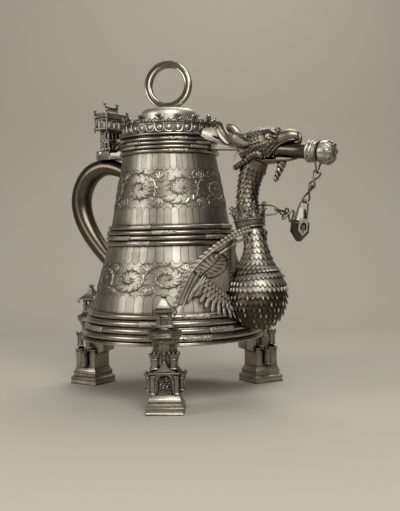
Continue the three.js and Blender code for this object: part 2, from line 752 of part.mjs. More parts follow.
const crestFoot = lidTop + seatGap;
const crestRail = crestFoot + 11;
const cupRise = 7.4;
const crestColumns = [
  [0, crestFoot + cupRise, crestTop], [0.1, crestFoot + 1.6, crestRail + 7.2],
  [0.18, crestFoot, crestRail + 2.4], [0.34, crestFoot + 0.4, crestRail + 2.4],
  [0.5, crestFoot + cupRise, crestRail + 4.2], [0.66, crestFoot + 0.4, crestRail + 2.4],
  [0.82, crestFoot, crestRail + 2.4], [0.9, crestFoot + 1.6, crestRail + 7.2],
];
piece(carafe, 'lid_crest', crownOf({
  periods: crestPeriods, columns: crestColumns, lowRadius: crestRadius, highRadius: crestRadius + crestLean,
  low: crestFoot, high: crestTop, thickness: crestThickness,
}), finishes.cast);

const bossFoot = lidTop + seatGap;
const ringHoleRadius = ringStemRadius + runningGap;
piece(carafe, 'lid_boss', turned([
  [bossRadius - bossWall, bossFoot], [bossRadius, bossFoot], [bossRadius, bossTop - 15],
  [bossRadius - 2.4, bossTop - 7], [bossRadius - 7, bossTop - 2.2],
  [bossRadius - 14, bossTop], [ringHoleRadius, bossTop], [ringHoleRadius, bossTop - bossWall],
  [bossRadius - 14, bossTop - bossWall], [bossRadius - bossWall - 1.6, bossTop - 10],
]), finishes.silver);

// Lid ring: it turns on a stem that is riveted inside the boss
const ringCentreRadius = ringOuterRadius - ringSection / 2;
const ringBottom = bossTop + seatGap + 1.2;
const ringCentre = new THREE.Vector3(0, 0, ringBottom + ringOuterRadius);

function lidRing() {
  const steps = 20;
  const rings = [];
  for (let step = 0; step < steps; step += 1) {
    const angle = (step / steps) * Math.PI * 2;
    const spoke = new THREE.Vector3(Math.cos(angle), 0, Math.sin(angle));
    const centre = ringCentre.clone().addScaledVector(spoke, ringCentreRadius);
    rings.push(ringOf(centre, spoke, new THREE.Vector3(0, 1, 0), ringSection / 2, ringSection / 2, 8));
  }
  const stem = turned([
    [0, bossTop - bossWall - seatGap - ringStemHeadHeight],
    [ringStemHeadRadius, bossTop - bossWall - seatGap - ringStemHeadHeight],
    [ringStemHeadRadius, bossTop - bossWall - seatGap], [ringStemRadius, bossTop - bossWall - seatGap],
    [ringStemRadius, bossTop + seatGap], [ringStemHeadRadius, bossTop + seatGap],
    [ringStemHeadRadius, ringBottom + 0.6], [0, ringBottom + 3],
  ], 10);
  return join(loft(rings, true), stem);
}

const ringMesh = piece(carafe, 'lid_ring', lidRing(), finishes.silver);
ringMesh.rotation.z = THREE.MathUtils.degToRad(ringTurn);

// Dragon: body, neck and head are castings round one channel that leads the wine to the pipe
const pipeAxis = new THREE.Vector3(
  Math.cos(THREE.MathUtils.degToRad(pipeSlope)), 0, -Math.sin(THREE.MathUtils.degToRad(pipeSlope)));

function onPipe(along, down = 0) {
  const below = new THREE.Vector3(pipeAxis.z, 0, -pipeAxis.x);
  return new THREE.Vector3(pipeX, 0, pipeZ).addScaledVector(pipeAxis, along).addScaledVector(below, down);
}

const channelLine = [
  [wallRadius(winePortHeight) - 6, winePortHeight, winePortRadius - 0.4],
  [112, winePortHeight + 3, neckChannelRadius], [120, 134, neckChannelRadius],
  [118.5, 170, neckChannelRadius], [116.5, 200, neckChannelRadius], [112, 217, neckChannelRadius],
  [110.4, 238, neckChannelRadius], [113, 256, neckChannelRadius], [118, 272, neckChannelRadius],
  [126, 288, neckChannelRadius], [onPipe(pipeRoot + 1).x, onPipe(pipeRoot + 1).z, neckChannelRadius],
];
const channel = limb(channelLine, 8);

const bodyTop = crownRingLow - 1.2;
const bodyLine = [
  [121, 84.5, 6], [121.6, 87.5, 17.5], [122.2, 95, 27.5], [122.8, 106, 34], [123.2, 118, 36.8],
  [123.2, 130, 37], [122.6, 142, 34.8], [121.6, 154, 30.2], [120.6, 165, 24.6], [119.6, 176, 19.4],
  [118.6, 187, 15.6], [117, bodyTop, 13.8], [116, bodyTop + 5, 13.4],
];
const aboveBody = box(crownX - 40, crownX + 40, -40, 40, bodyTop, bodyTop + 20);
const belowNeck = box(crownX - 40, crownX + 40, -40, 40, bodyTop - 20, bodyTop + seatGap);
const dragonBody = cut(limb(bodyLine, 16), fittedAgainst, channel, aboveBody);
piece(carafe, 'dragon_body', dragonBody, finishes.cast);

const neckLine = [
  [117, bodyTop - 5, 13.8], [115.4, 207, 13], [112.4, 218, 12.2], [110.6, 230, 11.6],
  [111, 243, 11.4], [113.4, 256, 11.8], [117, 268, 12.6], [121.4, 278, 14],
];
const headLine = [
  [104.6, 286, 7, 8], [109, 289.5, 13, 14], [117, 294, 18.5, 17.4], [127, 297.6, 21, 17.8],
  [137, 301.6, 18.6, 16], [146, 305.4, 13.4, 12.6], [156, 307.2, 10.2, 10.2], [166, 307.4, 8.4, 8.2],
  [173.4, 305.4, 6.6, 6.2], [178, 302.6, 4.6, 4], [180.4, 300.6, 2, 1.8],
];
const mouthCut = slab(shapeOf([
  [149, 291.6], [152, 299], [163, 303.6], [171, 301.4], [176, 299.6], [179.2, 296], [184, 270], [149, 270],
]), -20, 20);
const headSkin = cut(limb(headLine, 12), mouthCut);
const pipeRoom = rod(onPipe(pipeRoot - seatGap), onPipe(pipeEnd), pipeRadius + seatGap, 14);
piece(carafe, 'dragon_head', cut(headSkin, pipeRoom, channel), finishes.cast);
const headRoom = limb(headLine.map(([x, z, high, wide]) => [x, z, high + seatGap, wide + seatGap]), 12);
piece(carafe, 'dragon_neck', cut(limb(neckLine, 12), headRoom, channel, belowNeck), finishes.cast);

const crownColumns = [
  [0, crownRingLow, crownLeafTop], [0.12, crownRingLow, crownLeafTop - 8],
  [0.22, crownRingLow, crownLeafTop - 6], [0.5, crownRingLow, crownRingHigh],
  [0.78, crownRingLow, crownLeafTop - 6], [0.88, crownRingLow, crownLeafTop - 8],
];
const crownGeometry = crownOf({
  periods: crownLeaves, columns: crownColumns, lowRadius: crownRingRadius, highRadius: crownLeafRadius,
  low: crownRingLow, high: crownLeafTop, thickness: crownWall,
}).translate(crownX, 0, 0);
piece(carafe, 'crown_collar', crownGeometry, finishes.cast);

// Lower jaw, beard, ears and eyes
const jawPlate = limb([
  [140, 279.6, 3, 10], [148, 280.6, 3.6, 9.4], [158, 281, 2, 7.6], [168, 281.2, 1.2, 5.4],
  [176.5, 281.6, 0.7, 1.6],
], 10);
const mouthRoof = rod(onPipe(pipeRoot), onPipe(pipeEnd), pipeRadius + seatGap, 14);
piece(carafe, 'lower_jaw', cut(jawPlate, headRoom, mouthRoof), finishes.cast);
const beard = limb([
  [156, 279.6, 4.6, 3.4], [154.6, 274, 4.2, 3.2], [152, 268, 3.6, 2.8], [149.4, 262, 3, 2.2],
  [147.2, 257, 1, 0.8],
], 8);
const jawRoom = limb([
  [139, 279.6, 3.3, 10.3], [148, 280.6, 3.9, 9.7], [158, 281, 2.3, 7.9], [168, 281.2, 1.5, 5.7],
  [177, 281.6, 1, 2],
], 10);
piece(carafe, 'beard', cut(beard, jawRoom), finishes.cast);

for (const [name, side] of [['near', -1], ['far', 1]]) {
  const ear = limb([
    [0, 0, 3.6, 4.6], [-10, 2.6, 5.4, 4.8], [-22, 5.6, 6.4, 4], [-33, 7.8, 4.6, 2.8], [-41, 9, 1, 0.8],
  ], 8);
  const cup = limb([[-6, 5.4, 2, 1.6], [-16, 8.6, 4.4, 3.2], [-28, 11.6, 4.8, 2.8], [-38, 13, 2, 1.6]], 8)
    .translate(0, -2.2, 0);
  const leaf = cut(ear, cup);
  leaf.translate(0, -1, 0);
  if (side > 0) leaf.scale(1, -1, 1);
  leaf.rotateZ(side * THREE.MathUtils.degToRad(-14));
  leaf.translate(116, side * 15.6, 304.6);
  piece(carafe, `${name}_ear`, cut(leaf, headRoom), finishes.cast);
  const eye = ball(new THREE.Vector3(139, side * 15.2, 308.4), eyeRadius, 10);
  piece(carafe, `${name}_eye`, cut(eye, headRoom), finishes.dark);
}

// Rim bracket: the leaf that ties the back of the head to the rim of the vessel
const leafZ = mouthHeight - 10;
const rimLeaf = new THREE.Shape();
rimLeaf.moveTo(56, leafZ - 2);
rimLeaf.lineTo(56, leafZ + 5);
rimLeaf.quadraticCurveTo(70, leafZ + 11, 84, leafZ + 8);
rimLeaf.quadraticCurveTo(94, leafZ + 7, 101, leafZ + 14);
rimLeaf.lineTo(103, leafZ + 2);
rimLeaf.quadraticCurveTo(105, leafZ - 4, 112, leafZ - 7);
rimLeaf.lineTo(112, leafZ - 14);
rimLeaf.quadraticCurveTo(92, leafZ - 10, 76, leafZ - 8);
rimLeaf.closePath();
const leafSlot = new THREE.Path();
leafSlot.absellipse(88, leafZ, 8, 3, 0, Math.PI * 2, false, -0.15);
rimLeaf.holes.push(leafSlot);
piece(carafe, 'rim_bracket', cut(slab(rimLeaf, -4.5, 4.5, 6), headRoom, fittedAgainst), finishes.cast);

// Wings: a raised leading edge over feathered blades, laid against the lower tier
const wingGap = 1.1;
const wingThickness = 2.6;
const wingEdge = [
  [-5, 196], [-14, 194], [-24, 184.6], [-34, 172.6], [-43, 155.6], [-48.5, 136], [-52.5, 118],
];
const wingTips = [
  [-47.4, 121.5], [-42.6, 126], [-38.2, 119], [-33.6, 112.6], [-29, 107.8], [-24.6, 104.6], [-20.6, 101.6],
];

// The opening between the wing's root and the neck, in Y and Z, cut through along X
const wingGapOutline = [[-12, 189], [-29, 183], [-31, 172], [-26, 156]];
const wingGapNear = -140;
const wingGapFar = -96;

function onWall(degrees, z, radius) {
  const angle = THREE.MathUtils.degToRad(degrees);
  return new THREE.Vector3(radius * Math.cos(angle), radius * Math.sin(angle), z);
}

function wingRadius(z) {
  const rootRadius = 118;
  const tipRadius = wallRadius(118) + wingGap + wingThickness;
  const share = (z - 118) / (196 - 118);
  return Math.max(tipRadius + (rootRadius - tipRadius) * share, wallRadius(z) + wingGap + 3);
}

function wing(side) {
  const rings = wingEdge.map(([degrees, z], i) => {
    const [tipDegrees, tipZ] = wingTips[wingTips.length - 1 - i];
    const outer = wingRadius(z);
    const inner = wallRadius(tipZ) + wingGap + wingThickness;
    return [
      onWall(degrees, z, outer), onWall(tipDegrees, tipZ, inner),
      onWall(tipDegrees, tipZ, inner - wingThickness), onWall(degrees, z, outer - wingThickness),
    ];
  });
  const blade = loft(rings);
  const edgePoints = wingEdge.map(([degrees, z]) => onWall(degrees, z, wingRadius(z)));
  const edgeCurve = new THREE.CatmullRomCurve3(edgePoints);
  const steps = 14;
  const frames = edgeCurve.computeFrenetFrames(steps, false);
  const edgeRings = [];
  for (let step = 0; step <= steps; step += 1) {
    const size = 3.6 - 2 * (step / steps);
    const [normal, binormal] = [frames.normals[step], frames.binormals[step]];
    edgeRings.push(ringOf(edgeCurve.getPointAt(step / steps), normal, binormal, size, size, 6));
  }
  const gap = slab(shapeOf(wingGapOutline), wingGapNear, wingGapFar);
  gap.rotateZ(Math.PI / 2);
  const whole = cut(join(blade, loft(edgeRings)), gap);
  if (side > 0) whole.scale(1, -1, 1);
  return whole;
}

const dragonRoom = limb(bodyLine.map(([x, z, radius]) => [x, z, radius + seatGap]), 16);
piece(carafe, 'near_wing', cut(wing(-1), dragonRoom, fittedAgainst), finishes.cast);
piece(carafe, 'far_wing', cut(wing(1), dragonRoom, fittedAgainst), finishes.cast);

// Pouring pipe and the stopper that caps it
const pipe = rod(onPipe(pipeRoot), onPipe(pipeEnd), pipeRadius, 16);
const pipeBore = rod(onPipe(pipeRoot - 1), onPipe(pipeEnd + 1), pipeBoreRadius, 12);
piece(carafe, 'pouring_pipe', cut(pipe, pipeBore), finishes.silver);

// Puts a body turned about Z on the pipe's axis, with its height measured along the pipe
function alongPipe(geometry) {
  geometry.applyQuaternion(new THREE.Quaternion().setFromUnitVectors(new THREE.Vector3(0, 0, 1), pipeAxis));
  const root = onPipe(0);
  return geometry.translate(root.x, root.y, root.z);
}

piece(carafe, 'spout_stopper', alongPipe(turned([
  [pipeRadius + seatGap, stopperStart], [stopperCollarRadius - 1.4, stopperStart],
  [stopperCollarRadius, stopperStart + 2], [stopperCollarRadius, stopperStart + 8],
  [stopperGrooveRadius, stopperGrooveAt - 2], [stopperGrooveRadius, stopperGrooveAt + 2],
  [stopperRadius, stopperGrooveAt + 4.4], [stopperRadius, stopperEnd - 8],
  [stopperRadius - 2.6, stopperEnd - 2.4], [stopperRadius - 6.4, stopperEnd],
  [stopperButtonRadius, stopperEnd], [stopperButtonRadius + 0.6, stopperButtonEnd - 0.8],
  [0, stopperButtonEnd], [0, stopperSeat], [pipeRadius + seatGap, stopperSeat],
], 16)), finishes.silver);

// Wire strap: a pear-shaped loop round the stopper's groove
const strapInner = stopperGrooveRadius + runningGap;
const strapRadius = strapInner + strapWire / 2;

function stopperStrap() {
  const points = [];
  for (let step = 0; step <= 10; step += 1) {
    const angle = THREE.MathUtils.degToRad(-35 + step * 25);
    points.push([strapRadius * Math.cos(angle), strapRadius * Math.sin(angle)]);
  }
  points.push([-3.4, -strapDrop + 5], [-1.5, -strapDrop + 1], [0, -strapDrop], [1.5, -strapDrop + 1],
    [3.4, -strapDrop + 5]);
  const centre = onPipe(stopperGrooveAt);
  const below = onPipe(stopperGrooveAt, 1).sub(centre);
  const path = points.map(([across, up]) => centre.clone().add(new THREE.Vector3(0, across, 0))
    .addScaledVector(below, -up));
  return closedWire(new THREE.CatmullRomCurve3(path, true), strapWire / 2, { steps: 24 });
}

piece(carafe, 'stopper_strap', stopperStrap(), finishes.dark);

// A figure-of-eight link between two points, with its loops in the plane of the given side direction
function eightLink(from, to, sideways, width = linkWidth) {
  const middle = from.clone().add(to).multiplyScalar(0.5);
  const along = to.clone().sub(from);
  const half = along.length() / 2;
  along.normalize();
  const across = sideways.clone().addScaledVector(along, -sideways.dot(along)).normalize();
  const out = new THREE.Vector3().crossVectors(along, across);
  const points = [];
  for (let step = 0; step < 24; step += 1) {
    const angle = (step / 24) * Math.PI * 2;
    points.push(middle.clone()
      .addScaledVector(along, half * Math.cos(angle))
      .addScaledVector(across, (width - linkWire) / 2 * 1.25 * Math.sin(2 * angle))
      .addScaledVector(out, linkCrossing * Math.sin(angle)));
  }
  return closedWire(new THREE.CatmullRomCurve3(points, true), linkWire / 2, { steps: 16 });
}

// Two links hang from the strap to the padlock's shackle. Neighbouring wires hook past each other.
const strapEye = onPipe(stopperGrooveAt, strapDrop);
const shackleTop = new THREE.Vector3(shackleX, 0, shackleZ);
const hangDirection = shackleTop.clone().sub(strapEye).normalize();
const hook = linkWire + linkGap;
const inXZ = new THREE.Vector3(1, 0, 0);
const inY = new THREE.Vector3(0, 1, 0);
const hangLength = shackleTop.distanceTo(strapEye);
const linkMeeting = strapEye.clone().addScaledVector(hangDirection, hangLength / 2);
const firstLinkStart = strapEye.clone().addScaledVector(hangDirection, -hook);
const firstLinkEnd = linkMeeting.clone().addScaledVector(hangDirection, hook / 2);
const secondLinkStart = linkMeeting.clone().addScaledVector(hangDirection, -hook / 2);
const secondLinkEnd = shackleTop.clone().addScaledVector(hangDirection, hook);
piece(carafe, 'stopper_link_1', eightLink(firstLinkStart, firstLinkEnd, inXZ), finishes.dark);
piece(carafe, 'stopper_link_2', eightLink(secondLinkStart, secondLinkEnd, inY), finishes.dark);

// Padlock: a faceted body with a tall neck between the legs of its shackle
const padlockTop = new THREE.Vector3(padlockTopX, 0, padlockTopZ);
const padlockFoot = new THREE.Vector3(padlockFootX, 0, padlockFootZ);
const padlockAxis = padlockTop.clone().sub(padlockFoot).normalize();
const padlockLength = padlockTop.distanceTo(padlockFoot);
const padlockAcross = new THREE.Vector3(padlockAxis.z, 0, -padlockAxis.x);

function padlockBody() {
  const stations = [
    [0, 0.2], [0.16, 0.86], [0.34, 1], [0.58, 0.92], [0.66, 0.62], [0.84, 0.44], [1, 0.2],
  ];
  const rings = stations.map(([share, size]) => ringOf(
    padlockFoot.clone().addScaledVector(padlockAxis, share * padlockLength),
    new THREE.Vector3(0, 1, 0), padlockAcross, size * padlockGirth, size * padlockGirth, padlockSides));
  const slotAt = padlockFoot.clone().addScaledVector(padlockAxis, 0.46 * padlockLength);
  const keyhole = box(-1.9, 1.9, -padlockGirth - 1, -padlockGirth + 2.4, -3.4, 3.4);
  const tongue = box(-0.7, 0.7, -padlockGirth - 2, -padlockGirth + 3, -4, 1.2);
  const slot = cut(keyhole, tongue).translate(slotAt.x, slotAt.y, slotAt.z);
  return cut(loft(rings), slot);
}

// The shackle's crown is a half circle, so the link slides along it as the padlock swings
const shackleHalf = shackleWidth / 2;
const crownCentre = shackleTop.clone().addScaledVector(hangDirection, shackleCrownRadius);

function padlockShackle(wire) {
  const legFoot = padlockLength * 0.6;
  const at = (across, up) => padlockFoot.clone().addScaledVector(padlockAxis, up)
    .addScaledVector(padlockAcross, across);
  const crown = Array.from({ length: 7 }, (_, step) => {
    const angle = Math.PI * (1 - step / 6);
    return crownCentre.clone().addScaledVector(padlockAcross, shackleCrownRadius * Math.cos(angle))
      .addScaledVector(padlockAxis, shackleCrownRadius * Math.sin(angle));
  });
  const path = new THREE.CatmullRomCurve3([
    at(-shackleHalf, legFoot), at(-shackleHalf, legFoot + 6), ...crown,
    at(shackleHalf, legFoot + 6), at(shackleHalf, legFoot),
  ]);
  const steps = 18;
  const frames = path.computeFrenetFrames(steps, false);
  const rings = [];
  for (let step = 0; step <= steps; step += 1) {
    rings.push(ringOf(path.getPointAt(step / steps), frames.normals[step], frames.binormals[step],
      wire, wire, 6));
  }
  return loft(rings);
}

piece(carafe, 'padlock_shackle', padlockShackle(shackleWire / 2), finishes.dark);
piece(carafe, 'padlock_body', cut(padlockBody(), padlockShackle(shackleWire / 2 + seatGap)), finishes.dark);

// Collar staple and the two links that lead from the crown towards the shackle
function collarStaple() {
  const path = new THREE.CatmullRomCurve3([
    [120, collarStapleZ + 4.4], [132, collarStapleZ + 5], [143, collarStapleZ + 4.4],
    [collarStapleEnd - 1, collarStapleZ + 1], [collarStapleEnd, collarStapleZ - 3],
    [collarStapleEnd - 5, collarStapleZ - 6], [132, collarStapleZ - 6.4],
    [120, collarStapleZ - 6.4],
  ].map(([x, z]) => new THREE.Vector3(x, 0, z)));
  const steps = 22;
  const frames = path.computeFrenetFrames(steps, false);
  const rings = [];
  for (let step = 0; step <= steps; step += 1) {
    rings.push(ringOf(path.getPointAt(step / steps), frames.normals[step], frames.binormals[step], 1, 1, 6));
  }
  return loft(rings);
}

const neckRoom = limb(neckLine.map(([x, z, radius]) => [x, z, radius + seatGap]), 12);
const crownRoom = turned([[0, crownRingLow], [crownRingRadius + seatGap, crownRingLow],
  [crownLeafRadius + seatGap, crownLeafTop], [0, crownLeafTop]]).translate(crownX, 0, 0);
piece(carafe, 'collar_staple', cut(collarStaple(), neckRoom, crownRoom), finishes.dark);

const collarChainStart = new THREE.Vector3(collarStapleEnd - 0.2, 0, collarStapleZ - 2);
const collarChainEnd = new THREE.Vector3(170.4, 0, 215.4);
const collarDirection = collarChainEnd.clone().sub(collarChainStart).normalize();
const collarMeeting = collarChainStart.clone()
  .addScaledVector(collarDirection, 0.46 * collarChainEnd.distanceTo(collarChainStart));
piece(carafe, 'collar_link_1', eightLink(
  collarChainStart.clone().addScaledVector(collarDirection, -hook),
  collarMeeting.clone().addScaledVector(collarDirection, hook / 2), inY, collarLinkWidth), finishes.dark);
piece(carafe, 'collar_link_2', eightLink(
  collarMeeting.clone().addScaledVector(collarDirection, -hook / 2),
  collarChainEnd.clone().addScaledVector(collarDirection, -0.4), new THREE.Vector3(0, 0, 1),
  collarLinkWidth), finishes.dark);

// The origin is the middle of the footprint, on the table
const footprint = new THREE.Box3().setFromObject(carafe);
carafe.position.x = -(footprint.min.x + footprint.max.x) / 2;
const group = new THREE.Group();
group.add(carafe);

export default group;
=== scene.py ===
"""A covered wine carafe in worn, warm-toned silver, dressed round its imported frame.

Forms are shaped in millimetres from the vessel's axis, with +X to the spout and +Z up.
"""

import json
import logging
import math
from collections.abc import Callable, Iterable, Sequence
from dataclasses import dataclass
from enum import Enum

import bmesh
import bpy
from mathutils import Matrix, Vector


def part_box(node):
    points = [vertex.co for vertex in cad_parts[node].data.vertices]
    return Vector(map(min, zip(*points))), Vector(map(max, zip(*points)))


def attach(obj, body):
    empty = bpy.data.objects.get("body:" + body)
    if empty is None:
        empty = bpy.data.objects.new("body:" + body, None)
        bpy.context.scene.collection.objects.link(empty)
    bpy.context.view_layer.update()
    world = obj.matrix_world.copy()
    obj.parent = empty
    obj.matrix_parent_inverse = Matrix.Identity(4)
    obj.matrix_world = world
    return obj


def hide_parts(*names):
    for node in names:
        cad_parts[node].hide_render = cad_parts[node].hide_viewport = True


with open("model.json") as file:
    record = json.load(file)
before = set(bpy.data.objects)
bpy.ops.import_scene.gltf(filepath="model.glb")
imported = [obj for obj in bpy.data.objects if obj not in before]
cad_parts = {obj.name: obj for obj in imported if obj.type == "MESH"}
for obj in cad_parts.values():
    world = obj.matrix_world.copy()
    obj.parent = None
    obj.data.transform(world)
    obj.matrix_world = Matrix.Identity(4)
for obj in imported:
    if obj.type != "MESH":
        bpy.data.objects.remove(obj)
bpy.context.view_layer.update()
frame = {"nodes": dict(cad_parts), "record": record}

log = logging.getLogger("carafe")

TAU = math.tau
MM = 0.001
AXIS_X = (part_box("lid_plate")[0][0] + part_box("lid_plate")[1][0]) / 2
SHARP_ANGLE = math.radians(34)
SIN_60 = 0.866

Profile = Sequence[tuple[float, float]]


class Body(str, Enum):
    """The bodies of the frame."""

    VESSEL = "vessel"
    LID = "lid"
    RING = "ring"
    STOPPER = "stopper"
    STRAP = "strap"
    UPPER_LINK = "upper_link"
    LOWER_LINK = "lower_link"
    PADLOCK = "padlock"
    COLLAR_LINK = "collar_link"
    END_LINK = "end_link"


def linear(code: str) -> tuple[float, float, float, float]:
    """Turns an sRGB hex colour into linear red, green, blue and alpha.

    Args:
        code: Six hex digits after a hash sign.

    Returns:
        The four linear channels.
    """
    parts = [int(code[i:i + 2], 16) / 255 for i in (1, 3, 5)]
    red, green, blue = [p / 12.92 if p <= 0.04045 else ((p + 0.055) / 1.055) ** 2.4 for p in parts]
    return red, green, blue, 1.0


def add_node(tree: bpy.types.NodeTree, kind: str, *values: object, **settings: object) -> bpy.types.Node:
    """Adds a node, sets it, and fills its inputs in order.

    Args:
        tree: The material's node tree.
        kind: The node's type without the ShaderNode prefix.
        values: Sockets to link or plain values to set, with None to leave an input alone.
        settings: The node's own settings, or input names with spaces written as underscores.

    Returns:
        The new node.
    """
    node = tree.nodes.new("ShaderNode" + kind)
    plugs: list[tuple[object, object]] = list(enumerate(values))
    for name, value in settings.items():
        if hasattr(node, name):
            setattr(node, name, value)
        else:
            plugs.append((name.replace("_", " "), value))
    for key, value in plugs:
        if value is None:
            continue
        if isinstance(value, bpy.types.NodeSocket):
            tree.links.new(value, node.inputs[key])
        else:
            node.inputs[key].default_value = value
    return node


class Relief(Enum):
    """What a silversmith's tool has left on a surface."""

    PLAIN = "planished and polished"
    STIPPLED = "punched all over with a pointed tool"
    FEATHERED = "chased with fine lines"
    MASONRY = "cut like coursed stone"


@dataclass(frozen=True)
class Silver:
    """Parcel-gilt silver, bright where hands rub it and brown in its hollows, with real tarnish and painted
    shade.
    """

    name: str
    slot: str
    relief: Relief = Relief.PLAIN
    lit: str = "#a8a092"
    # The dark colour in hollows and cut lines: real tarnish, and painted shade in the hollows.
    tarnish_and_shade: str = "#1d1813"
    roughness: float = 0.24
    grain_mm: float = 6.0
    hollow_mm: float = 3.0
    tool_mm: float = 1.6
    depth_mm: float = 0.12
    wear: float = 1.0

    def material(self) -> bpy.types.Material:
        """Builds the node material once, and gives the same one after that."""
        made = bpy.data.materials.get(self.name)
        if made is not None:
            return made
        made = bpy.data.materials.new(self.name)
        made.use_nodes = True
        tree = made.node_tree
        tree.nodes.clear()
        coords = add_node(tree, "TexCoord").outputs["Object"]
        cut = self.cut_lines(tree, coords)
        # Painted shade: ambient occlusion darkens hollows and creases towards the dark colour, together with the
        # real tarnish there.
        hollow = add_node(tree, "AmbientOcclusion", samples=6, Distance=self.hollow_mm * MM).outputs["AO"]
        open_face = add_node(tree, "MapRange", hollow, 0.5, 0.97).outputs["Result"]
        cloud = add_node(
            tree, "TexNoise", coords, Scale=1 / (self.grain_mm * 4 * MM), Detail=5.0).outputs["Fac"]
        stain = add_node(tree, "MapRange", cloud, 0.38, 0.66, 1.0 - 0.28 * self.wear, 1.0).outputs["Result"]
        unshaded_unstained = add_node(tree, "Math", open_face, stain, operation="MULTIPLY").outputs[0]
        dirty = add_node(tree, "Math", cut, 0.62, operation="MULTIPLY").outputs[0]
        shown = add_node(tree, "Math", unshaded_unstained, dirty, operation="SUBTRACT", use_clamp=True).outputs[0]
        colour = add_node(tree, "MixRGB", shown, linear(self.tarnish_and_shade), linear(self.lit)).outputs[0]
        scuffs = add_node(
            tree, "TexNoise", coords, Scale=1 / (self.grain_mm * 0.25 * MM), Detail=4.0).outputs["Fac"]
        rough = add_node(
            tree, "MapRange", scuffs, 0.3, 0.7, self.roughness,
            self.roughness + 0.16 * self.wear).outputs["Result"]
        dented = add_node(tree, "TexNoise", coords, Scale=1 / (self.grain_mm * MM), Detail=2.0).outputs["Fac"]
        hammered = add_node(tree, "Bump", 0.5, 0.1 * MM * self.wear, None, dented, None, invert=False)
        raised = add_node(tree, "Bump", 0.9, self.depth_mm * MM, Height=cut, invert=True)
        tree.links.new(hammered.outputs[0], raised.inputs["Normal"])
        shader = add_node(tree, "BsdfPrincipled", colour, Metallic=1.0, Roughness=rough)
        tree.links.new(raised.outputs[0], shader.inputs["Normal"])
        add_node(tree, "OutputMaterial", shader.outputs[0])
        return made

    def cut_lines(self, tree: bpy.types.NodeTree, coords: bpy.types.NodeSocket) -> bpy.types.NodeSocket:
        """Draws the tool's marks.

        Args:
            tree: The material's node tree.
            coords: Object coordinates in metres.

        Returns:
            A socket that is 1 in a cut line and 0 on the untouched surface.
        """
        scale = 1 / (self.tool_mm * MM)
        if self.relief is Relief.STIPPLED:
            dots = add_node(tree, "TexVoronoi", coords, Scale=scale)
            return add_node(tree, "MapRange", dots.outputs["Distance"], 0.15, 0.5, 1.0, 0.0).outputs["Result"]
        if self.relief is Relief.FEATHERED:
            lines = add_node(tree, "TexNoise", coords, Scale=scale, Detail=3.0).outputs["Fac"]
            return add_node(tree, "MapRange", lines, 0.5, 0.72, 0.0, 0.55).outputs["Result"]
        if self.relief is Relief.MASONRY:
            rough = add_node(tree, "TexNoise", coords, Scale=scale, Detail=4.0).outputs["Fac"]
            return add_node(tree, "MapRange", rough, 0.48, 0.7, 0.0, 0.6).outputs["Result"]
        faint = add_node(tree, "TexNoise", coords, Scale=scale, Detail=3.0).outputs["Fac"]
        return add_node(tree, "MapRange", faint, 0.62, 0.8, 0.0, 0.5).outputs["Result"]


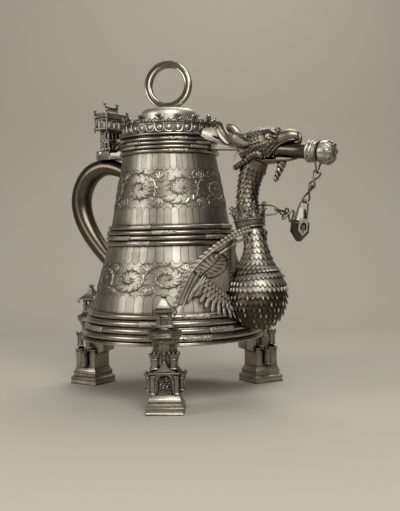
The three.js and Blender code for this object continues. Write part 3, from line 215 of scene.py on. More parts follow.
@dataclass(frozen=True)
class EngravedWall(Silver):
    """Raised sheet silver, engraved in two tiers with striped borders."""

    stripes: int = 26
    tiers: tuple[tuple[float, float], ...] = ((106.5, 184.0), (209.2, 295.0))
    border_mm: float = 21.0
    ground_mm: float = 1.2

    def cut_lines(self, tree: bpy.types.NodeTree, coords: bpy.types.NodeSocket) -> bpy.types.NodeSocket:
        """Draws the stripes round the vessel's axis, tier by tier."""
        centred = add_node(tree, "Mapping", coords, (-AXIS_X, 0, 0)).outputs[0]
        parts = add_node(tree, "SeparateXYZ", centred).outputs
        turn = add_node(tree, "Math", parts["Y"], parts["X"], operation="ARCTAN2").outputs[0]
        dots = add_node(tree, "TexVoronoi", coords, Scale=1 / (self.ground_mm * MM)).outputs["Distance"]
        ground = add_node(tree, "MapRange", dots, 0.1, 0.6, 0.55, 0.15).outputs["Result"]
        whole = None
        for low, high in self.tiers:
            tier = self.tier_lines(tree, turn, parts["Z"], ground, low, high)
            whole = tier if whole is None else add_node(
                tree, "Math", whole, tier, operation="MAXIMUM").outputs[0]
        return whole

    def tier_lines(
        self, tree: bpy.types.NodeTree, turn: bpy.types.NodeSocket, height: bpy.types.NodeSocket,
        ground: bpy.types.NodeSocket, low: float, high: float,
    ) -> bpy.types.NodeSocket:
        """Draws one tier: hatched stripes with round ends at both edges.

        Args:
            tree: The material's node tree.
            turn: The angle about the vessel's axis, in radians.
            height: The height in metres.
            ground: The punched ground that shows between the borders.
            low: The tier's lower edge in millimetres.
            high: Its upper edge.

        Returns:
            A socket that is 1 in this tier's lines.
        """
        middle, half = (low + high) / 2, (high - low) / 2
        rise = add_node(tree, "Math", height, 1 / MM, -middle, operation="MULTIPLY_ADD").outputs[0]
        away = add_node(tree, "Math", rise, operation="ABSOLUTE").outputs[0]
        inside = add_node(tree, "Math", away, half, operation="LESS_THAN").outputs[0]
        count = add_node(tree, "Math", turn, self.stripes * 2 / TAU, operation="MULTIPLY").outputs[0]
        share = add_node(tree, "Math", count, operation="FRACT").outputs[0]
        side = add_node(tree, "Math", share, 2.0, -1.0, operation="MULTIPLY_ADD").outputs[0]
        squared = add_node(tree, "Math", side, side, operation="MULTIPLY").outputs[0]
        start = half - self.border_mm
        arch = add_node(tree, "Math", squared, 5.0, start, operation="MULTIPLY_ADD").outputs[0]
        past = add_node(tree, "Math", away, arch, operation="SUBTRACT").outputs[0]
        border = add_node(tree, "Math", past, 0.0, operation="GREATER_THAN").outputs[0]
        rim = add_node(tree, "Math", past, 0.0, 0.5, operation="COMPARE").outputs[0]
        edge = add_node(tree, "Math", squared, 0.86, operation="GREATER_THAN").outputs[0]
        paired = add_node(tree, "Math", count, 0.5, operation="MULTIPLY").outputs[0]
        odd = add_node(tree, "Math", paired, operation="FRACT").outputs[0]
        hatched = add_node(tree, "Math", odd, 0.5, operation="GREATER_THAN").outputs[0]
        strokes = add_node(tree, "Math", turn, 600.0, operation="MULTIPLY").outputs[0]
        wave = add_node(tree, "Math", strokes, operation="SINE").outputs[0]
        tone = add_node(tree, "MapRange", wave, -1.0, 1.0, 0.1, 0.45).outputs["Result"]
        filled = add_node(tree, "Math", tone, hatched, operation="MULTIPLY").outputs[0]
        lined = add_node(tree, "Math", filled, edge, operation="MAXIMUM").outputs[0]
        bordered = add_node(tree, "Math", lined, border, operation="MULTIPLY").outputs[0]
        left = add_node(tree, "Math", 1.0, border, operation="SUBTRACT").outputs[0]
        punched = add_node(tree, "Math", ground, left, operation="MULTIPLY").outputs[0]
        both = add_node(tree, "Math", bordered, punched, operation="MAXIMUM").outputs[0]
        rimmed = add_node(tree, "Math", both, rim, operation="MAXIMUM").outputs[0]
        return add_node(tree, "Math", rimmed, inside, operation="MULTIPLY").outputs[0]


ENGRAVED = EngravedWall("engraved_sheet_silver", "raised_silver", roughness=0.33)
POLISHED = Silver(
    "drawn_and_burnished_silver", "band_silver", roughness=0.25, hollow_mm=2.2, tool_mm=9.0, wear=0.6)
STIPPLED = Silver(
    "stippled_silver", "band_silver", Relief.STIPPLED, lit="#c3bcae", roughness=0.42, tool_mm=2.8,
    depth_mm=0.5)
SMOOTH = Silver("planished_silver", "raised_silver", roughness=0.27, tool_mm=14.0, wear=0.4)
# A darker copy of the silver for the ring: its lower tone is painted dark reflection.
TURNED = Silver(
    "turned_silver_dark_reflection", "raised_silver", lit="#8f8677", roughness=0.2, tool_mm=14.0, wear=0.3,
    hollow_mm=6.0)
# A bright, matte copy of the silver; on the beads, the eyeballs and the padlock's shield its brightness is a
# painted highlight.
FROST_AND_HIGHLIGHT = Silver("frosted_silver_with_painted_highlights", "raised_silver", lit="#cbc4b5", roughness=0.42, tool_mm=14.0, wear=0.6)
CUPPED = Silver(
    "frosted_leaf_silver", "cast_silver", lit="#c3bcae", roughness=0.36, tool_mm=9.0, hollow_mm=9.0)
# A darker copy of the smooth silver: painted dark reflection and shade on the handle, the pipe and the padlock's
# body.
DARK_REFLECTION = Silver(
    "dark_reflection_smooth_silver", "raised_silver", lit="#5f574a", roughness=0.24, tool_mm=14.0, wear=0.4)
CAST = Silver(
    "cast_and_chased_silver", "cast_silver", Relief.MASONRY, roughness=0.28, tool_mm=2.2, hollow_mm=5.0)
SCALED = Silver(
    "chased_scale_silver", "cast_silver", Relief.FEATHERED, lit="#b3ab9c", roughness=0.38, hollow_mm=3.5)
# A darker copy of the scale silver: painted shade on the neck and the head.
CURLED = Silver(
    "shade_painted_scale_silver", "cast_silver", Relief.FEATHERED, lit="#7d7465", roughness=0.32, hollow_mm=4.0)
WINGED = Silver(
    "chased_wing_silver", "cast_silver", Relief.FEATHERED, lit="#d3cbbb", roughness=0.48, hollow_mm=2.4)
VINE = Silver(
    "engraved_foliage_silver", "raised_silver", lit="#b3ac9d", roughness=0.34, tool_mm=9.0, hollow_mm=1.6)
STEPPED = Silver(
    "rubbed_cast_silver", "cast_silver", Relief.MASONRY, lit="#bfb7a8", roughness=0.32, tool_mm=2.6)
# A darker, browner copy of the silver: painted shade on the snout, the jaw, the wing straps and inside the
# upturned lobes.
SATIN = Silver(
    "shaded_satin_silver", "cast_silver", lit="#8b8273", roughness=0.33, tool_mm=9.0, wear=0.5, hollow_mm=5.0)
# A very dark copy of the scale silver: painted shade under the belly and along the cell's veins.
DEEP_SHADE = Silver(
    "deep_shade_scale_silver", "cast_silver", Relief.FEATHERED, lit="#5b5347", roughness=0.34, hollow_mm=4.0)
WIRE = Silver("tarnished_silver_wire", "chain_silver", lit="#857c6c", roughness=0.24, tool_mm=5.0)
# Near-black painted shadow: fills the keyhole and the slits in the rim leaf, where there is only shade.
SHADOW_FILL = Silver("painted_shadow_silver", "chain_silver", lit="#2a241d", tarnish_and_shade="#120e0b", roughness=0.5)


class Form:
    """A mesh being shaped, in millimetres from the vessel's axis."""

    def __init__(self) -> None:
        """Starts empty."""
        self.bm = bmesh.new()

    def as_mesh(self) -> bpy.types.Mesh:
        """Gives a throwaway mesh with this shape."""
        mesh = bpy.data.meshes.new("shape")
        self.bm.to_mesh(mesh)
        return mesh

    def stamp(self, part: "Form", places: Iterable[Matrix]) -> "Form":
        """Copies a part in, once for each place.

        Args:
            part: The shape to repeat.
            places: Where each copy goes.

        Returns:
            This form.
        """
        mesh = part.as_mesh()
        for place in places:
            copy = mesh.copy()
            copy.transform(place)
            self.bm.from_mesh(copy)
            bpy.data.meshes.remove(copy)
        bpy.data.meshes.remove(mesh)
        return self

    def add(self, part: "Form", *moves: Matrix) -> "Form":
        """Copies a part in at one place, or where it is if none is given."""
        return self.stamp(part, moves or (Matrix(),))

    def move(self, place: Matrix) -> "Form":
        """Moves the whole form by a matrix."""
        bmesh.ops.transform(self.bm, matrix=place, verts=self.bm.verts)
        return self

    def soften(self, width: float, segments: int = 2) -> "Form":
        """Bevels every edge that is sharper than the shading angle."""
        sharp = [e for e in self.bm.edges if len(e.link_faces) == 2 and e.calc_face_angle(0.0) > SHARP_ANGLE]
        bmesh.ops.bevel(
            self.bm, geom=sharp, offset=width, segments=segments, profile=0.5, affect="EDGES",
            clamp_overlap=True, material=-1)
        return self

    def recess(self, faces: Iterable[bmesh.types.BMFace], border: float, depth: float) -> "Form":
        """Sinks a panel into each of these faces."""
        bmesh.ops.inset_individual(self.bm, faces=list(faces), thickness=border, depth=-depth)
        return self

    def outward(self) -> None:
        """Turns its faces outwards."""
        bmesh.ops.recalc_face_normals(self.bm, faces=self.bm.faces)

    def piece(
        self, name: str, body: Body, finish: Silver, *nodes: str, smooth: bool = True,
    ) -> bpy.types.Object:
        """Makes the form an object in the frame.

        Args:
            name: The piece's name.
            body: The body that it rides on.
            finish: Its silver.
            nodes: The frame's nodes that it stands for.
            smooth: Whether its gently turned faces are shaded as one surface.

        Returns:
            The object.
        """
        self.outward()
        self.move(Matrix.Translation((AXIS_X, 0, 0)) @ Matrix.Scale(MM, 4))
        mesh = bpy.data.meshes.new(name)
        self.bm.to_mesh(mesh)
        self.bm.free()
        if smooth:
            mesh.shade_smooth()
            mesh.set_sharp_from_angle(angle=SHARP_ANGLE)
        obj = bpy.data.objects.new(name, mesh)
        show(obj)
        mesh.materials.append(finish.material())
        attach(obj, body.value)
        if nodes:
            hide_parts(*nodes)
        log.info("%s: %d faces on %s", name, len(mesh.polygons), body.value)
        return obj


STANDING = Matrix(((0, 0, 1, 0), (1, 0, 0, 0), (0, 1, 0, 0), (0, 0, 0, 1)))


def shift(x: float = 0.0, y: float = 0.0, z: float = 0.0) -> Matrix:
    """A move by these millimetres."""
    return Matrix.Translation((x, y, z))


def spin_about(axis: str, degrees: float) -> Matrix:
    """A turn about X, Y or Z."""
    return Matrix.Rotation(math.radians(degrees), 4, axis)


def flipped(k: int) -> Matrix:
    """A mirroring in Y for every other one of a row."""
    return Matrix.Diagonal((1, 1 - 2 * (k % 2), 1, 1))


def corners(x: float, y: float, z: float = 0.0) -> list[Matrix]:
    """Moves to the four corners of an upright rectangle round the Z axis."""
    return [shift(s * x, t * y, z) for s in (-1, 1) for t in (-1, 1)]


def upright(points: Iterable[Sequence[float]]) -> list[Vector]:
    """Points of X and Z in the plane of the spout and the handle."""
    return [Vector((x, 0, z)) for x, z in points]


def beside(side: int, points: Iterable[Sequence[float]]) -> list[Vector]:
    """Points on one side of that plane, with Y measured away from it."""
    return [Vector((x, side * y, z)) for x, y, z in points]


def oval_points(centre: Sequence[float], radii: tuple[float, float], count: int) -> list[Vector]:
    """Points of an upright oval, for a wire that joins up with itself."""
    x, y, z = centre
    return [Vector((x + a, y, z + b)) for a, b in arc((0, 0), radii, 0, 330, count)]


def around(count: int, radius: float, z: float = 0.0, start: float = 0.0) -> list[Matrix]:
    """Places evenly round the Z axis, each with its X axis pointing out."""
    return [spin_about("Z", start + 360 * i / count) @ shift(radius, 0, z) for i in range(count)]


def spline(points: Sequence[Sequence[float]], count: int, closed: bool = False) -> list[tuple[float, ...]]:
    """Runs a smooth curve through points of any number of values.

    Args:
        points: The points that it passes through.
        count: How many places to read along it.
        closed: Whether it comes back to its start.

    Returns:
        The values at each place.
    """
    last = len(points)
    spans = last if closed else last - 1
    read = []
    for step in range(count):
        at = step / (count if closed else count - 1) * spans
        i = min(int(at), spans - 1)
        t = at - i
        if closed:
            a, b, c, d = (points[(i + k) % last] for k in (-1, 0, 1, 2))
        else:
            a, b, c, d = (points[min(max(i + k, 0), last - 1)] for k in (-1, 0, 1, 2))
        read.append(tuple(
            0.5 * (2 * q + (r - p) * t + (2 * p - 5 * q + 4 * r - s) * t * t + (3 * q - p - 3 * r + s) * t ** 3)
            for p, q, r, s in zip(a, b, c, d)))
    return read


def show(obj: bpy.types.Object) -> None:
    """Puts an object into the scene."""
    bpy.context.scene.collection.objects.link(obj)


def vertices(parts: Iterable) -> list[bmesh.types.BMVert]:
    """The vertices among what an operator made."""
    return [part for part in parts if isinstance(part, bmesh.types.BMVert)]


def turned(profile: Profile, steps: int = 96, flats: bool = False) -> Form:
    """Turns a profile of radius and height about Z.

    Args:
        profile: Points from one end to the other. It is closed unless both ends lie on the axis.
        steps: How many sides it gets.
        flats: Whether the radius is measured to the flats, which then face X and Y.

    Returns:
        The turned form.
    """
    form = Form()
    grow = 1 / math.cos(math.pi / steps) if flats else 1.0
    verts = [form.bm.verts.new((radius * grow, 0, z)) for radius, z in profile]
    edges = [form.bm.edges.new(pair) for pair in zip(verts, verts[1:])]
    if profile[0][0] > 0 or profile[-1][0] > 0:
        edges.append(form.bm.edges.new((verts[-1], verts[0])))
    bmesh.ops.spin(
        form.bm, geom=verts + edges, cent=(0, 0, 0), axis=(0, 0, 1), angle=TAU, steps=steps, use_merge=True)
    bmesh.ops.remove_doubles(form.bm, verts=form.bm.verts, dist=1e-4)
    form.outward()
    return form.move(spin_about("Z", 180 / steps)) if flats else form


def swept(places: Sequence[Matrix], sides: int = 12, closed: bool = False) -> Form:
    """Sweeps a circle of radius 1 through a row of places, which size and turn it.

    Args:
        places: One matrix for each ring.
        sides: The circle's sides.
        closed: Whether the last ring joins the first. Otherwise both ends are capped.

    Returns:
        The swept form.
    """
    form = Form()
    bmesh.ops.create_circle(form.bm, cap_ends=False, segments=sides, radius=1.0, matrix=places[0])
    first = list(form.bm.edges)
    ring = first
    for before, after in zip(places, places[1:]):
        grown = bmesh.ops.extrude_edge_only(form.bm, edges=ring)["geom"]
        verts = vertices(grown)
        ring = [g for g in grown if isinstance(g, bmesh.types.BMEdge) and g.is_boundary]
        bmesh.ops.transform(form.bm, matrix=after @ before.inverted(), verts=verts)
    if closed:
        bmesh.ops.bridge_loops(form.bm, edges=first + ring)
    else:
        bmesh.ops.holes_fill(form.bm, edges=[e for e in form.bm.edges if e.is_boundary], sides=sides)
    form.outward()
    return form


def facing(centre: Vector, right: Vector, up: Vector) -> Matrix:
    """A place whose circle spans the vectors right and up."""
    out = right.cross(up)
    if out.length > 0:
        out.normalize()
    place = Matrix.Identity(4)
    for column, vector in enumerate((right, up, out, centre)):
        place.col[column][:3] = vector
    return place


def limb(stations: Sequence[Sequence[float]], sides: int = 32, count: int = 40) -> Form:
    """A smooth limb whose middle line lies in the XZ plane.

    Args:
        stations: x, z, half height and half width at each place along it.
        sides: Sides of its section.
        count: Rings along it.

    Returns:
        The limb.
    """
    return swept(limb_places(stations, count), sides)


def limb_places(stations: Sequence[Sequence[float]], count: int) -> list[Matrix]:
    """The ring places of a limb in the XZ plane."""
    full = [s if len(s) == 4 else (*s, s[2]) for s in stations]
    line = spline(full, count)
    places = []
    for i, (x, z, high, wide) in enumerate(line):
        before, after = line[max(i - 1, 0)], line[min(i + 1, count - 1)]
        along = Vector((after[0] - before[0], 0, after[1] - before[1])).normalized()
        normal = Vector((0, 1, 0)).cross(along)
        places.append(facing(Vector((x, 0, z)), Vector((0, max(wide, 0.05), 0)), normal * -max(high, 0.05)))
    return places


def wire(
        points: Sequence[Vector], radius: float, sides: int = 10, closed: bool = False,
        count: int = 48) -> Form:
    """A round wire along a smooth curve through points.

    Args:
        points: The points that it follows.
        radius: The wire's radius, or its taper as a function of the share of its length.
        sides: Sides of its section.
        closed: Whether it joins up with itself.
        count: Rings along it.

    Returns:
        The wire.
    """
    line = [Vector(p) for p in spline(points, count, closed)]
    places = []
    normal = Vector()
    for i, here in enumerate(line):
        after = line[(i + 1) % count] if closed else line[min(i + 1, count - 1)]
        before = line[i - 1] if closed or i else line[0]
        along = (after - before).normalized()
        if not places:
            normal = along.orthogonal().normalized()
        normal = (normal - along * normal.dot(along)).normalized()
        size = radius(i / (count - 1)) if callable(radius) else radius
        places.append(facing(here, normal * size, along.cross(normal) * size))
    return swept(places, sides, closed)


def blade(
    points: Sequence[Vector], faces: Sequence[Vector], width: Callable[[float], float], thick: float,
    sides: int = 8, count: int = 12,
) -> Form:
    """A leaf or feather: a flat lens-shaped section along a curve.

    Args:
        points: The points of its middle line.
        faces: The way its face looks at each of them.
        width: Half its width as a function of the share of its length.
        thick: Half its thickness.
        sides: Sides of its section.
        count: Rings along it.

    Returns:
        The blade.
    """
    line = [Vector(p) for p in spline(points, count)]
    looks = [Vector(p).normalized() for p in spline(faces, count)]
    places = []
    for i, here in enumerate(line):
        along = (line[min(i + 1, count - 1)] - line[max(i - 1, 0)]).normalized()
        across = along.cross(looks[i]).normalized()
        share = i / (count - 1)
        size = max(width(share), 0.05)
        places.append(facing(here, across * size, across.cross(along) * -thick * min(1.0, 0.25 + size / 2)))
    return swept(places, sides)


def plate(outline: Profile, depth: float, bevel: float = 0.0) -> Form:
    """A flat outline in X and Y with thickness along Z."""
    form = Form()
    face = form.bm.faces.new([form.bm.verts.new((x, y, 0)) for x, y in outline])
    grown = bmesh.ops.extrude_face_region(form.bm, geom=[face])["geom"]
    verts = vertices(grown)
    bmesh.ops.translate(form.bm, vec=(0, 0, depth), verts=verts)
    form.outward()
    return form.soften(bevel) if bevel else form


def block(low: Sequence[float], high: Sequence[float], bevel: float = 0.0) -> Form:
    """A box between two corners."""
    form = Form()
    size = [b - a for a, b in zip(low, high)]
    middle = [(a + b) / 2 for a, b in zip(low, high)]
    bmesh.ops.create_cube(form.bm, size=1.0, matrix=Matrix.Translation(middle) @ Matrix.Diagonal((*size, 1)))
    return form.soften(bevel, 1) if bevel else form


def ball(radius: float, at: Sequence[float] = (0, 0, 0), squash: float = 1.0, sides: int = 12) -> Form:
    """A ball, or a bead that is lower than it is wide."""
    form = Form()
    place = Matrix.Translation(at) @ Matrix.Diagonal((1, 1, squash, 1))
    bmesh.ops.create_uvsphere(
        form.bm, u_segments=sides, v_segments=max(sides // 2, 4), radius=radius, matrix=place)
    return form


def arc(
        centre: tuple[float, float], radii: tuple[float, float], start: float, end: float,
        count: int) -> Profile:
    """Points along part of an ellipse, with angles in degrees."""
    steps = [math.radians(start + (end - start) * i / (count - 1)) for i in range(count)]
    return [(centre[0] + radii[0] * math.cos(a), centre[1] + radii[1] * math.sin(a)) for a in steps]


def arch_outline(width: float, foot: float, spring: float, rise: float, count: int = 9) -> Profile:
    """A round or pointed arch standing on its foot, as points in X and Y."""
    half = width / 2
    return [(-half, foot), (half, foot), *arc((0, spring), (half, rise), 0, 180, count)]


@dataclass
class Band:
    """A belt of half-round ribs, with stippled sleeves slipped over them here and there."""

    name: str
    low: float
    high: float
    land: tuple[float, float]
    proud: float
    sleeve_centres: tuple[float, ...]
    flange: bool = False
    sleeve_turn: float = 20.0
    sleeves_round: int = 4
    seat: float = 0.3
    rib_half: float = 0.41

    def rib_middle(self, rib: int) -> tuple[float, float]:
        """The radius and height of a rib's middle line."""
        z = self.low + (rib + 0.5) * self.pitch()
        return Vessel.radius_at(z) + self.seat + self.land_at(z), z

    def pitch(self) -> float:
        """The height from rib to rib."""
        return (self.high - self.low) / len(self.sleeve_centres)

    def land_at(self, z: float) -> float:
        """How thick the belt is under its ribs."""
        share = (z - self.low) / (self.high - self.low)
        return self.land[0] + (self.land[1] - self.land[0]) * share

    def build(self) -> None:
        """Makes the ribbed belt and its sleeves."""
        outline: list[tuple[float, float]] = []
        half = self.pitch() * self.rib_half
        if self.flange:
            outline += [
                (Vessel.sole_radius, 70.4), (114.4, 70.4), *arc((114.1, 71.5), (0.8, 0.9), -60, 60, 5)]
            outline += [(112.6, 72.6), (112.2, 73.6)]
        for rib in range(len(self.sleeve_centres)):
            radius, z = self.rib_middle(rib)
            outline += arc((radius, z), (self.proud, half), -90, 90, 9)
            outline.append((radius - 0.5, z + self.pitch() / 2))
        outline.append((Vessel.radius_at(self.high), self.high))
        outline.append((Vessel.radius_at(self.low), self.low))
        turned(outline, 144).piece(f"{self.name}_ribs", Body.VESSEL, POLISHED, self.name)
        sleeves = Form()
        for rib, centre in enumerate(self.sleeve_centres):
            sleeve = self.sleeve(rib)
            turn = self.sleeve_turn / 2
            sleeves.add(sleeve, *[spin_about("Z", centre - turn + k * 360 / self.sleeves_round)
                                  for k in range(self.sleeves_round)])
        sleeves.piece(f"{self.name}_sleeves", Body.VESSEL, STIPPLED)

    def sleeve(self, rib: int) -> Form:
        """One sleeve, lying from angle 0 round its rib."""
        radius, z = self.rib_middle(rib)
        form = Form()
        outline = arc((radius, z), (self.proud + 0.75, self.pitch() * self.rib_half + 0.5), -88, 88, 11)
        verts = [form.bm.verts.new((r, 0, height)) for r, height in outline]
        face = form.bm.faces.new(verts)
        bmesh.ops.spin(
            form.bm, geom=[face, *face.edges, *verts], cent=(0, 0, 0), axis=(0, 0, 1),
            angle=math.radians(self.sleeve_turn), steps=12)
        form.outward()
        return form.soften(0.35, 2)


@dataclass
class Vessel:
    """The two-tiered vessel with its base and its three ribbed belts."""

    wall: float = 2.0
    sole: tuple[float, float] = (70.4, 73.0)
    line = ((109.0, 73.3), (79.0, 184.0), (74.1, 209.0), (58.5, 295.0), (57.6, 316.0))
    sole_radius = 109.0
    fields = (("lower", 127.0, 164.0, 12), ("upper", 229.5, 275.0, 8))
    spiral_turns = 1.6
    bands: tuple[Band, ...] = (
        Band("base_band", 74.0, 106.5, (2.4, 0.9), 2.5, (-41, -24, -68, -41), flange=True, sleeve_turn=18),
        Band("middle_band", 183.8, 209.2, (1.2, 1.2), 2.0, (-84.5, -104.5, -62, -84), sleeve_turn=21),
        Band("rim_band", 295.0, 314.5, (1.2, 1.2), 1.7, (-46, -20, -102, -46), sleeve_turn=23),
    )

    @classmethod
    def radius_at(cls, z: float) -> float:
        """The wall's outer radius at a height."""
        for (r0, z0), (r1, z1) in zip(cls.line, cls.line[1:]):
            if z <= z1:
                return r0 + (r1 - r0) * (z - z0) / (z1 - z0)
        return cls.line[-1][0]

    def build(self) -> None:
        """Makes the wall, the base plate and the belts."""
        inner = [(radius - self.wall, z) for radius, z in reversed(self.line)]
        turned([*self.line, *inner], 160).piece("engraved_wall", Body.VESSEL, ENGRAVED, "vessel_wall")
        for word, low, high, scrolls in self.fields:
            self.foliage(low, high, scrolls).piece(f"{word}_foliage", Body.VESSEL, VINE)
        low, high = self.sole
        plate_line = [(0, low), (self.sole_radius, low), (self.sole_radius, high), (0, high)]
        turned(plate_line, 96).piece("sole_plate", Body.VESSEL, SMOOTH, "base_plate")
        for band in self.bands:
            band.build()

    def foliage(self, low: float, high: float, scrolls: int) -> Form:
        """Scrolling stems in low relief: spirals turned to and fro, with leaves and a flower in each.

        Args:
            low: The lowest height that they reach.
            high: The highest.
            scrolls: How many spirals go round.

        Returns:
            The foliage, laid on the wall.
        """
        middle = (low + high) / 2
        girth = self.radius_at(middle)
        cell = TAU * girth / scrolls
        reach = cell * 0.6
        squeeze = (high - low) / 2 / reach

        def coil(share: float) -> Vector:
            turn = math.pi - TAU * self.spiral_turns * share
            return Vector((math.cos(turn), math.sin(turn), 0)) * reach * (1 - 0.86 * share ** 0.85)

        flat, small = Form(), Form()
        flat.add(wire([coil(k / 24) for k in range(25)], lambda share: 0.9 - 0.3 * share, 6, count=72))
        small.add(flat)
        face = [Vector((0, 0, 1))] * 4
        for k in range(40):
            share = 0.01 + 0.0235 * k
            base, along = coil(share), (coil(share + 0.02) - coil(share)).normalized()
            out = Vector((along.y, -along.x, 0)) * (1 if k % 2 else -1)
            size = 2.2 + 0.27 * base.length * (0.7, 1.0, 0.85, 1.15)[k % 4]
            leaf = [base, base + (along * 0.45 + out * 0.25) * size, base + (along * 0.8 + out * 0.62) * size,
                    base + (along * 0.62 + out * 1.0) * size]
            made = blade(
                leaf, face, lambda t, s=size: 0.16 * s * math.sin(min(t * 1.1 + 0.12, 1) * math.pi) + 0.15,
                0.6, 4, 8)
            flat.add(made)
            if k % 3 == 0:
                small.add(made)
        flat.stamp(ball(1.0, (0, 0, 0), 0.5, 8), [*around(6, 1.7, 0.1), shift(z=0.4)])
        for side in (-1, 1):
            flat.add(
                small,
                shift(-cell / 2, side * 0.72 * reach) @ spin_about("Z", 90 * side) @ Matrix.Scale(0.4, 4))
            for k in range(-2, 3):
                a = math.radians(90 + 28 * k)
                tip = Vector((math.cos(a), math.sin(a), 0)) * (11.5 - 1.3 * abs(k))
                base = Vector((-cell / 2, 0.52 * reach, 0))
                last = base + tip + Vector((0.6 * k, -0.5 * abs(k), 0))
                fan = [(p.x, side * p.y, 0) for p in (base, base + tip * 0.5, last)]
                flat.add(blade(
                    [Vector(p) for p in fan], face[:3], lambda t: 1.5 * math.sin(t * 2.7 + 0.3), 0.7, 6, 8))
        form = Form()
        form.stamp(flat, [shift(k * cell) @ flipped(k) for k in range(scrolls)])
        for vert in form.bm.verts:
            z = middle + vert.co.y * squeeze
            turn, radius = vert.co.x / girth, self.radius_at(z) + 0.15 + vert.co.z
            vert.co = (radius * math.cos(turn), radius * math.sin(turn), z)
        return form


@dataclass
class Lid:
    """The lid with its openwork cresting, its domed boss and the ring that turns on it."""

    bottom: float = 316.3
    top: float = 319.3
    radius: float = 61.4
    crest_radius: float = 58.0
    cups: int = 32
    fleurons: int = 16
    rail: float = 332.0
    boss_radius: float = 36.0
    boss_top: float = 354.0
    ring_radius: float = 25.9
    ring_section: float = 4.2
    ring_turn: float = 16.0
    ring_top: float = 414.4

    def build(self) -> None:
        """Makes the lid's pieces."""
        self.plate()
        self.crest()
        self.boss()
        self.ring()

    def plate(self) -> None:
        """The flat plate with a rolled edge and a bezel that enters the mouth."""
        rim = arc((self.radius - 1.5, (self.bottom + self.top) / 2), (1.9, 1.5), -90, 90, 9)
        outline = [
            (0, self.bottom), (51.5, self.bottom), (51.5, self.bottom - 3), (53.5, self.bottom - 3),
            (53.5, self.bottom), *rim, (55, self.top), (54, self.top + 0.5), (53, self.top), (0, self.top)]
        turned(outline, 128).piece("lid_disc", Body.LID, SMOOTH, "lid_plate")

    def crest(self) -> None:
        """The openwork: hanging cups under a beaded rail, with fleurons and buds above it."""
        form = Form()
        radius = self.crest_radius
        half = math.pi * radius / self.cups
        cup = wire([Vector((0, s * half * w, z)) for s, w, z in (
            (-1, 0.96, self.rail - 1), (-1, 0.94, self.rail - 5), (-1, 0.78, self.top + 3.2),
            (-1, 0.4, self.top + 1.2), (0, 0, self.top + 0.7), (1, 0.4, self.top + 1.2),
            (1, 0.78, self.top + 3.2), (1, 0.94, self.rail - 5),
            (
                1, 0.96,
                self.rail - 1))], lambda share: 0.8 + 0.75 * math.sin(share * math.pi) ** 3, 8, count=26)
        form.stamp(cup, around(self.cups, radius))
        shield = [
            (-half, 11.6), *[(x, y + 5.2) for x, y in arc((0, 0), (half, 4.6), 180, 360, 11)], (half, 11.6)]
        form.stamp(
            plate(shield, 0.7), [m @ STANDING for m in around(self.cups, radius - 1.3, self.top + 0.6)])
        form.stamp(ball(3.5, (0, 0, 0), 1.0, 12).move(Matrix.Diagonal((0.45, 1, 1.1, 1))),
                   around(self.cups, radius - 0.9, self.top + 5.8))
        form.piece("crest_cups", Body.LID, CUPPED, "lid_crest")
        form = Form()
        back = block((-1.2, -half, self.rail - 2.6), (0.4, half, self.rail - 0.8), 0.2)
        form.stamp(back, around(self.cups, radius))
        hoop = [(radius + r, self.rail + z) for r, z in arc((0, 0), (1.3, 0.8), 0, 330, 10)]
        form.add(turned(hoop, 128))
        form.stamp(ball(1.0, sides=8), around(self.cups * 3, radius + 1.1, self.rail + 0.4))
        foot = [(radius + r, self.top + 0.9 + z) for r, z in arc((0, 0), (1.3, 0.7), 0, 330, 10)]
        form.add(turned(foot, 128))
        form.stamp(self.fleuron(), around(self.fleurons, radius + 0.4, self.rail))
        form.stamp(self.bud(), around(self.fleurons, radius + 0.4, self.rail, 180 / self.fleurons))
        knot = [Vector((0.6, y, z)) for y, z in (
            (-2.4, 3.4), (-0.4, 4.4), (1.6, 2.6), (0.2, 0.6), (-1.6, 1.4), (-0.6, 2.6))]
        places = around(self.cups, radius + 1.2, self.rail - 1, 5)
        form.stamp(wire(knot, lambda share: 1.0 - 0.4 * share, 6, count=14), [
            m @ flipped(k) for k, m in enumerate(places)])
        form.piece("leafy_cresting", Body.LID, CAST)

    def fleuron(self) -> Form:
        """A stalk with a bead, a lozenge and two curled leaves."""
        form = Form()
        form.add(turned(
            [(0, 0), (1.0, 0.4), (1.0, 4.4), (2.3, 5.4), (1.1, 6.6), (1.9, 8.6), (1.2, 10.4), (0, 11.2)], 10))
        for side in (-1, 1):
            curl = [Vector((0, side * y, z)) for y, z in (
                (0.4, 2.2), (2.6, 3.6), (4.4, 6.2), (3.4, 8.4), (2.2, 7.4))]
            form.add(wire(curl, lambda share: 1.6 - 0.6 * share, 8, count=12))
            form.add(ball(1.5, (0, side * 2.4, 7.4), sides=8))
        return form

    def bud(self) -> Form:
        """A low trefoil between two fleurons."""
        form = Form()
        for y, z, size in ((-1.7, 1.8, 1.2), (1.7, 1.8, 1.2), (0, 3.6, 1.3)):
            form.add(ball(size, (0, y, z), sides=8))
        return form

    def boss(self) -> None:
        """The hollow dome, with a rounded shoulder and two fine steps."""
        top, radius = self.boss_top, self.boss_radius
        shoulder = arc((radius - 9, top - 9.5), (9, 9), 2, 86, 14)
        outline = [
            (radius - 2, self.top), (radius + 0.8, self.top), (radius + 0.8, self.top + 1.4),
            (radius, self.top + 2.2), (radius, top - 10), *shoulder, (18, top - 0.3), (17, top), (6, top),
            (5.6, top + 0.4), (2.75, top + 0.4), (2.75, top - 2), (20, top - 2.2), (radius - 5, top - 9),
            (radius - 2, top - 15)]
        turned(outline, 112).piece("domed_boss", Body.LID, FROST_AND_HIGHLIGHT, "lid_boss")

